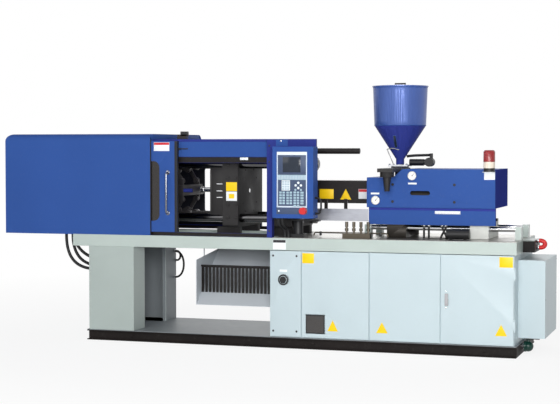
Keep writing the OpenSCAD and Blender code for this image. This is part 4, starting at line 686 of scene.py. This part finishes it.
smallPieces = {
    "panel_light": {
        "body": "bed", "finish": "whiteCard", "slot": "lamp_body",
        "discs": [((0.162, -0.6263, 1.127), toFront, 0.007, 0.004, 20, 0.001, 0)]},
    "ejector_plate": {  # dark side plate behind the moving platen, with its three guide rods
        "body": "moving", "finish": ["platenMetal", "brightSteel"], "slot": slotOf["moving_platen"],
        "boxes": [((-0.564, -0.268, 1.072), (-0.4125, -0.262, 1.468), 0.0015, 0),
                  ((-0.564, -0.272, 1.092), (-0.544, -0.268, 1.448), 0.001, 0)],
        "discs": [((-0.503, -0.275, z), toRight, 0.0055, 0.085, 20, 0.001, 1) for z in (1.217, 1.271, 1.330)]},
    "box_cable": {  # from the side of the operator box round to its foot
        "body": "bed", "finish": "hoseRubber", "slot": "hose_rubber",
        "discs": [((0.438, -0.56, z), toRight, 0.013, 0.016, 6, 0.001, 0) for z in (1.232, 1.105)],
        "tubes": [([(0.444, -0.56, 1.232), (0.482, -0.56, 1.230), (0.496, -0.56, 1.205), (0.497, -0.56, 1.150),
                    (0.484, -0.56, 1.108), (0.444, -0.56, 1.105)], 0.012, 6, 0.008, 14, 0)]},
    "deck_pipe": {  # along the deck, in two clamps
        "body": "bed", "finish": ["bronzeFitting", "blackPlastic"], "slot": slotOf["water_manifold"],
        "boxes": [((x - 0.008, -0.322, 0.9149), (x + 0.008, -0.302, 0.949), 0.002, 1) for x in (0.420, 0.925)],
        "tubes": [([(0.365, -0.312, 0.9149), (0.365, -0.312, 0.940), (0.985, -0.312, 0.940), (0.985, -0.312, 0.9149)],
                   0.018, 6, 0.006, 14, 0)]},
    # A thin strip in the darker blue just under the joint of the upper and lower covers: a painted shadow line
    "joint_shadow_band": {
        "body": "carriage", "finish": "sideBluePaint", "slot": slotOf["lower_cover"],
        "boxes": [((0.823, -0.2870, 1.1305), (1.852, -0.2855, 1.1495), 0.0003, 0)]},
    "vent_screen": {  # filter screen over the tank's vent, in its rim
        "body": "bed", "finish": ["filterScreen", "blackPlastic"], "slot": slotOf["cover_panels"],
        "boxes": [((0.350, -0.4952, 0.131), (0.506, -0.4940, 0.279), 0, 0)]
        + [((x0, -0.4962, z0), (x1, -0.4940, z1), 0.0006, 1) for x0, x1, z0, z1 in (
            (0.350, 0.506, 0.131, 0.137), (0.350, 0.506, 0.273, 0.279),
            (0.350, 0.356, 0.137, 0.273), (0.500, 0.506, 0.137, 0.273))]},
    # A thin near-black strip down the casing's front right edge: a painted shadow line where the casing overlaps the
    # door
    "casing_shadow_strip": {
        "body": "bed", "finish": "sealRubber", "slot": "hose_rubber",
        "boxes": [((-1.015, -0.4998, 0.906), (-1.008, -0.4890, 1.700), 0.002, 0)]},
    "guard_plate": {
        "body": "bed", "finish": ["bluePaint", "brightSteel"], "slot": slotOf["guard_frame"],
        "boxes": [((0.097, -0.5022, 1.648), (0.197, -0.5000, 1.702), 0.0008, 0)],
        "discs": [((0.140, -0.5022, 1.689), toFront, 0.006, 0.003, 20, 0.001, 1)]},
    "casing_mouth": {
        "body": "bed", "finish": "bluePaint", "slot": slotOf["clamp_casing"],
        "boxes": [((-1.018, -0.470, 1.704), (-1.0145, 0.640, 1.746), 0.0005, 0)]},
    "switch_cap": {
        "body": "bed", "finish": "blackPlastic", "slot": slotOf["guard_frame"],
        "boxes": [((-0.765, -0.440, 1.730), (-0.700, -0.408, 1.770), 0.003, 0)]},
    "rail_lip": {
        "body": "bed", "finish": "deepBluePaint", "slot": slotOf["guard_frame"],
        "boxes": [((-1.010, -0.4475, 1.684), (-0.003, -0.4445, 1.7055), 0.0008, 0)]},
    "rail_switch": {
        "body": "bed", "finish": "blackPlastic", "slot": slotOf["guard_frame"],
        "boxes": [((-0.787, -0.458, 1.616), (-0.765, -0.4445, 1.634), 0.002, 0),
                  ((-0.770, -0.455, 1.620), (-0.694, -0.4445, 1.630), 0.002, 0)]},
    "gate_lever": {  # works the slide gate under the hopper
        "body": "hopper", "finish": "groundSteel", "slot": "bare_steel",
        "discs": [((0.976, -0.079, 1.500), toFront, 0.007, 0.008, 20, 0.001, 0)],
        "tubes": [([(0.976, -0.084, 1.500), (0.960, -0.094, 1.540), (0.925, -0.098, 1.622)], 0.008, 5, 0.0038, 10, 0),
                  ([(0.925, -0.098, 1.622), (0.968, -0.106, 1.630), (1.022, -0.084, 1.618)], 0.006, 5, 0.0038, 10, 0)]},
    "flange_bolts": {
        "body": "hopper", "finish": "linkIron", "slot": "bare_steel",
        "discs": [((x, y, 1.4963), upward, 0.008, 0.006, 6, 0.001, 0)
                  for x in (0.940, 0.975, 1.049, 1.084) for y in (-0.070, 0.070)]},
}
for name, values in smallPieces.items():
    smallPiece(name, **values)
print("small pieces made:", len(smallPieces))

# Bare plates and plain colour fields: (body, left, right, low, high, y, kind)
labels = {
    "door_label": ("front_door", -0.985, -0.845, 1.607, 1.679, -0.485, "redTop"),
    "guard_label_yellow": ("carriage", 0.347, 0.469, 1.209, 1.290, -0.098, "yellow"),
    "guard_label_white": ("carriage", 0.684, 0.756, 1.212, 1.293, -0.098, "redTop"),
    "beam_plate": ("bed", 0.070, 0.181, 0.806, 0.886, -0.500, "darkTop"),
    "panel_label": ("bed", 0.126, 0.190, 0.624, 0.643, -0.494, "white"),
    "panel_label_yellow": ("bed", 0.319, 0.418, 0.699, 0.780, -0.494, "yellow"),
    "door_label_yellow": ("cabinet_door", 1.921, 2.026, 0.705, 0.786, -0.494, "yellow"),
    "gauge_label_high": ("carriage", 1.149, 1.219, 1.340, 1.354, -0.300, "white"),
    "gauge_label_low": ("carriage", 0.841, 0.911, 1.257, 1.271, -0.300, "white"),
    "scale_strip": ("carriage", 1.366, 1.572, 1.104, 1.128, -0.286, "scale"),
    "rail_label": ("bed", -0.237, -0.167, 1.534, 1.554, -0.435, "white"),
    "platen_label_high": ("moving", -0.409, -0.313, 1.272, 1.346, -0.300, "yellow"),
    "platen_label_low": ("moving", -0.409, -0.313, 1.190, 1.268, -0.300, "yellowField"),
}
labelKinds = {  # finish of the plate and of what lies on it
    "white": ("whiteCard", "labelDark"), "yellow": ("labelYellow", "labelDark"),
    "scale": ("whiteCard", "labelDark"), "redTop": ("whiteCard", "labelRed"),
    "darkTop": ("whiteCard", "labelDark"), "yellowField": ("whiteCard", "labelYellow"),
}
label = {"thick": 0.0008, "field": 0.0011, "edge": 0.0002, "margin": 0.002, "topShare": 0.3, "fieldShare": (0.25, 0.75),
         "scaleSteps": 40, "scaleMargin": 0.004, "scaleLine": 0.0004, "scaleLong": 5, "scaleTops": (0.013, 0.008)}


def labelPiece(name, body, x0, x1, z0, z1, y, kind):
    bm = bmesh.new()
    addBox(bm, (x0, y - label["thick"], z0), (x1, y, z1), label["edge"])
    wide, high, rise, margin = x1 - x0, z1 - z0, y - label["field"], label["margin"]
    if kind == "yellowField":
        near, far = label["fieldShare"]
        addBox(bm, (x0 + near * wide, rise, z0 + near * high), (x0 + far * wide, y, z0 + far * high), 0, 1)
    elif kind in ("redTop", "darkTop"):
        addBox(bm, (x0 + margin, rise, z1 - label["topShare"] * high), (x1 - margin, y, z1 - margin), 0, 1)
    elif kind == "scale":
        start, line = x0 + label["scaleMargin"], label["scaleLine"]
        for k in range(label["scaleSteps"] + 1):
            x = start + (wide - 2 * label["scaleMargin"]) * k / label["scaleSteps"]
            top = z0 + label["scaleTops"][k % label["scaleLong"] > 0]
            addBox(bm, (x - line, rise, z0 + margin), (x + line, y, top), 0, 1)
    fresh(name, bm, body, list(labelKinds[kind]))


for name, values in labels.items():
    labelPiece(name, *values)

triangles = {  # body, left, right, low, high, y
    "guard_triangle": ("carriage", 0.527, 0.621, 1.205, 1.293, -0.098),
    "panel_triangle_left": ("bed", 0.532, 0.619, 0.154, 0.242, -0.494),
    "panel_triangle_right": ("bed", 0.937, 1.031, 0.155, 0.242, -0.494),
    "door_triangle": ("cabinet_door", 1.890, 1.983, 0.170, 0.260, -0.494),
}
corner = {"radius": 0.004, "steps": 3}
for name, (body, x0, x1, z0, z1, y) in triangles.items():
    bm = bmesh.new()
    rise = y - label["thick"]
    front = [bm.verts.new(v) for v in ((x0, rise, z0), (x1, rise, z0), ((x0 + x1) / 2, rise, z1))]
    back = [bm.verts.new((v.co.x, y, v.co.z)) for v in front]
    bm.faces.new(front)
    bm.faces.new(back[::-1])
    for i in range(3):
        j = (i + 1) % 3
        bm.faces.new((front[i], back[i], back[j], front[j]))
    bmesh.ops.bevel(bm, geom=list(bm.verts), offset=corner["radius"], segments=corner["steps"], affect="VERTICES")
    fresh(name, bm, body, "labelYellow")
print("plates made")

# (body, finish, slot, head radius, head height, direction, places)
screws = {
    "panel_screws": ("bed", "linkIron", "bare_steel", 0.007, 0.003, toFront,
                     [(x, -0.494, z) for x in (0.070, 0.270) for z in (0.755, 0.140)]),
    "cover_bolts": ("carriage", "blackPlastic", "black_plastic", 0.009, 0.006, toFront,
                    [(x, -0.300, z) for x in (1.021, 1.526) for z in (1.338, 1.200)]),
    "cover_bolts_rear": ("carriage", "blackPlastic", "black_plastic", 0.009, 0.006, toRear,
                         [(x, 0.310, z) for x in (1.021, 1.526) for z in (1.338, 1.200)]),
    "latch_screws": ("cabinet_door", "brightSteel", "bright_steel", 0.004, 0.002, toFront,
                     [(1.498, -0.494, z) for z in (0.375, 0.507)]),
    "box_screws": ("bed", "bluePaint", "blue_paint", 0.004, 0.002, toFront,
                   [(x, -0.625, z) for x in (0.118, 0.438) for z in (1.082, 1.630)]),
    "post_bolts": ("bed", "linkIron", "bare_steel", 0.006, 0.004, toFront,
                   [(0.039, -0.500, z) for z in (0.955, 1.520, 1.650)]),
    "base_bolts": ("bed", "railPaint", "black_paint", 0.012, 0.008, toFront,
                   [(x, -0.463, 0.042) for x in (-1.2, -0.4, 0.4, 1.2, 1.8)]),
    "platen_bolts": ("moving", "platenMetal", "bare_steel", 0.014, 0.010, toFront,
                     [(x, -0.300, z) for x in (-0.396, -0.326) for z in (1.05, 1.16, 1.38, 1.49)]),
    "fixed_bolts": ("bed", "platenMetal", "bare_steel", 0.014, 0.010, toFront,
                    [(x, -0.300, z) for x in (0.04, 0.13) for z in (1.05, 1.16, 1.38, 1.49)]),
    "tail_bolts": ("tail", "groundSteel", "bare_steel", 0.012, 0.008, toLeft,
                   [(-1.375, 0.092 * cos(k * pi / 4), 1.27 + 0.092 * sin(k * pi / 4)) for k in range(8)]),
    "panel_screws_rear": ("bed", "brightSteel", "bright_steel", 0.006, 0.003, toRear,
                          [(x, 0.494, z) for x in (0.10, 0.64, 0.76, 1.30, 1.42, 1.96) for z in (0.12, 0.44, 0.77)]),
    "end_screws": ("bed", "brightSteel", "bright_steel", 0.006, 0.003, toRight,
                   [(2.250, y, z) for y in (-0.27, 0.36) for z in (0.16, 0.44, 0.72)]),
    "casing_screws": ("bed", "brightSteel", "bright_steel", 0.006, 0.003, toLeft,
                      [(-2.368, y, z) for y in (-0.44, 0.63) for z in (0.93, 1.30, 1.66)]),
}
screwHead = {"washer": 1.25, "washerShare": 0.3, "edge": 0.15}  # shares of the head's radius and height
for name, (body, finish, slot, radius, height, axis, places) in screws.items():
    bm = bmesh.new()
    washer = height * screwHead["washerShare"]
    for place in places:
        addDisc(bm, place, axis, radius * screwHead["washer"], washer, 24)
        head = Vector(place) + Vector(axis) * washer
        addDisc(bm, head, axis, radius, height - washer, 6, 0, height * screwHead["edge"])
    fresh(name, bm, body, finish)
print("screws made")

# Rolled seams round the hopper: rings (z, radius), and the seam's section (out from the wall, height)
seam = {"x": 1.012, "rings": ((1.815, 0.213), (2.125, 0.225)), "smooth": 60,
        "profile": ((-0.001, 0), (0.0015, 0.001), (0.0015, 0.004), (-0.001, 0.006))}
bm = bmesh.new()
for z, radius in seam["rings"]:
    addLathe(bm, (seam["x"], 0, z), upward, [(radius + out, height) for out, height in seam["profile"]], 96)
fresh("hopper_seams", bm, "hopper", "bluePaint", seam["smooth"])

# Sight window on the cone: its frame, then its glass, as half sizes
window = {"middle": (1.001, -0.1265, 1.686), "slope": atan2(0.181, 0.277), "edge": 0.0015,
          "halves": ((0.013, 0.003, 0.059), (0.010, 0.0045, 0.056))}
bm = bmesh.new()
middle = Vector(window["middle"])
for index, half in enumerate(map(Vector, window["halves"])):
    addBox(bm, middle - half, middle + half, window["edge"], index, Matrix.Rotation(window["slope"], 4, "X"))
fresh("sight_window", bm, "hopper", ["hopperPaint", "screenGlass"])
print("hopper details made")

# The floor turns from card to plain white between the two reaches
stage = {"size": 60, "floor": srgb(242, 243, 244), "dim": 0.98, "cloud": (0.6, 2), "glow": (0.86, 1.0),
         "reach": (2.5, 7.0), "worldSeen": 1.0, "worldLight": 0.30}
bm = bmesh.new()
bmesh.ops.create_grid(bm, x_segments=1, y_segments=1, size=stage["size"] / 2)
mesh = bpy.data.meshes.new("floor")
bm.to_mesh(mesh)
bm.free()
floor = bpy.data.objects.new("floor", mesh)
scene.collection.objects.link(floor)
f = Finish("floorCard", Roughness=0.85, Specular_IOR_Level=0.2)
f.feed("Base Color", f.mix(f.noise(*stage["cloud"]), scaled(stage["floor"], stage["dim"]), stage["floor"]))
glow = f.node("ShaderNodeEmission", {}, {"Color": (1, 1, 1, 1), "Strength": 1.0})
card = Socket(f, f.shader.outputs[0])
flat = f.node("ShaderNodeVectorMath", {"operation": "MULTIPLY"}, {0: f.place, 1: (1, 1, 0)})
away = f.node("ShaderNodeVectorMath", {"operation": "LENGTH"}, {0: flat}, "Value")
near, far = stage["reach"]
share = f.node("ShaderNodeMapRange", {}, {"Value": away, "From Min": near, "From Max": far,
                                          "To Min": stage["glow"][0], "To Max": stage["glow"][1]})
mixed = f.node("ShaderNodeMixShader", {}, {0: f.seen() * share, 1: card, 2: glow})
f.tree.links.new(mixed.socket, f.tree.nodes["Material Output"].inputs["Surface"])
floor.data.materials.append(f.mat)

world = bpy.data.worlds.new("studio")
scene.world = world
world.use_nodes = True
sky = Graph(world.node_tree)
background = sky.tree.nodes["Background"]
background.inputs["Color"].default_value = (1, 1, 1, 1)
strength = sky.seen() * (stage["worldSeen"] - stage["worldLight"]) + stage["worldLight"]
sky.tree.links.new(strength.socket, background.inputs["Strength"])

lamps = {
    "key": {"place": (2.6, -9.5, 4.6), "aim": (0.4, 0, 1.0), "size": (1.6, 1.6), "power": 90},
    "front": {"place": (3.30, -9.4, 2.4), "aim": (1.0, 0, 1.9), "size": (5.5, 2.4), "power": 640},
    "left": {"place": (-4.5, -6.5, 3.8), "aim": (-0.8, 0, 1.0), "size": (3.5, 3.5), "power": 70},
    "rear": {"place": (-1.0, 6.5, 5.0), "aim": (0, 0, 1.0), "size": (5.0, 5.0), "power": 150},
}
for name, p in lamps.items():
    light = bpy.data.lights.new(name, "AREA")
    light.shape = "RECTANGLE"
    light.size, light.size_y = p["size"]
    light.energy = p["power"]
    lamp = bpy.data.objects.new(name, light)
    scene.collection.objects.link(lamp)
    lamp.location = p["place"]
    lamp.rotation_euler = (Vector(p["aim"]) - Vector(p["place"])).to_track_quat("-Z", "Y").to_euler()
scene.view_settings.view_transform = "Standard"
print("stage and lamps set")
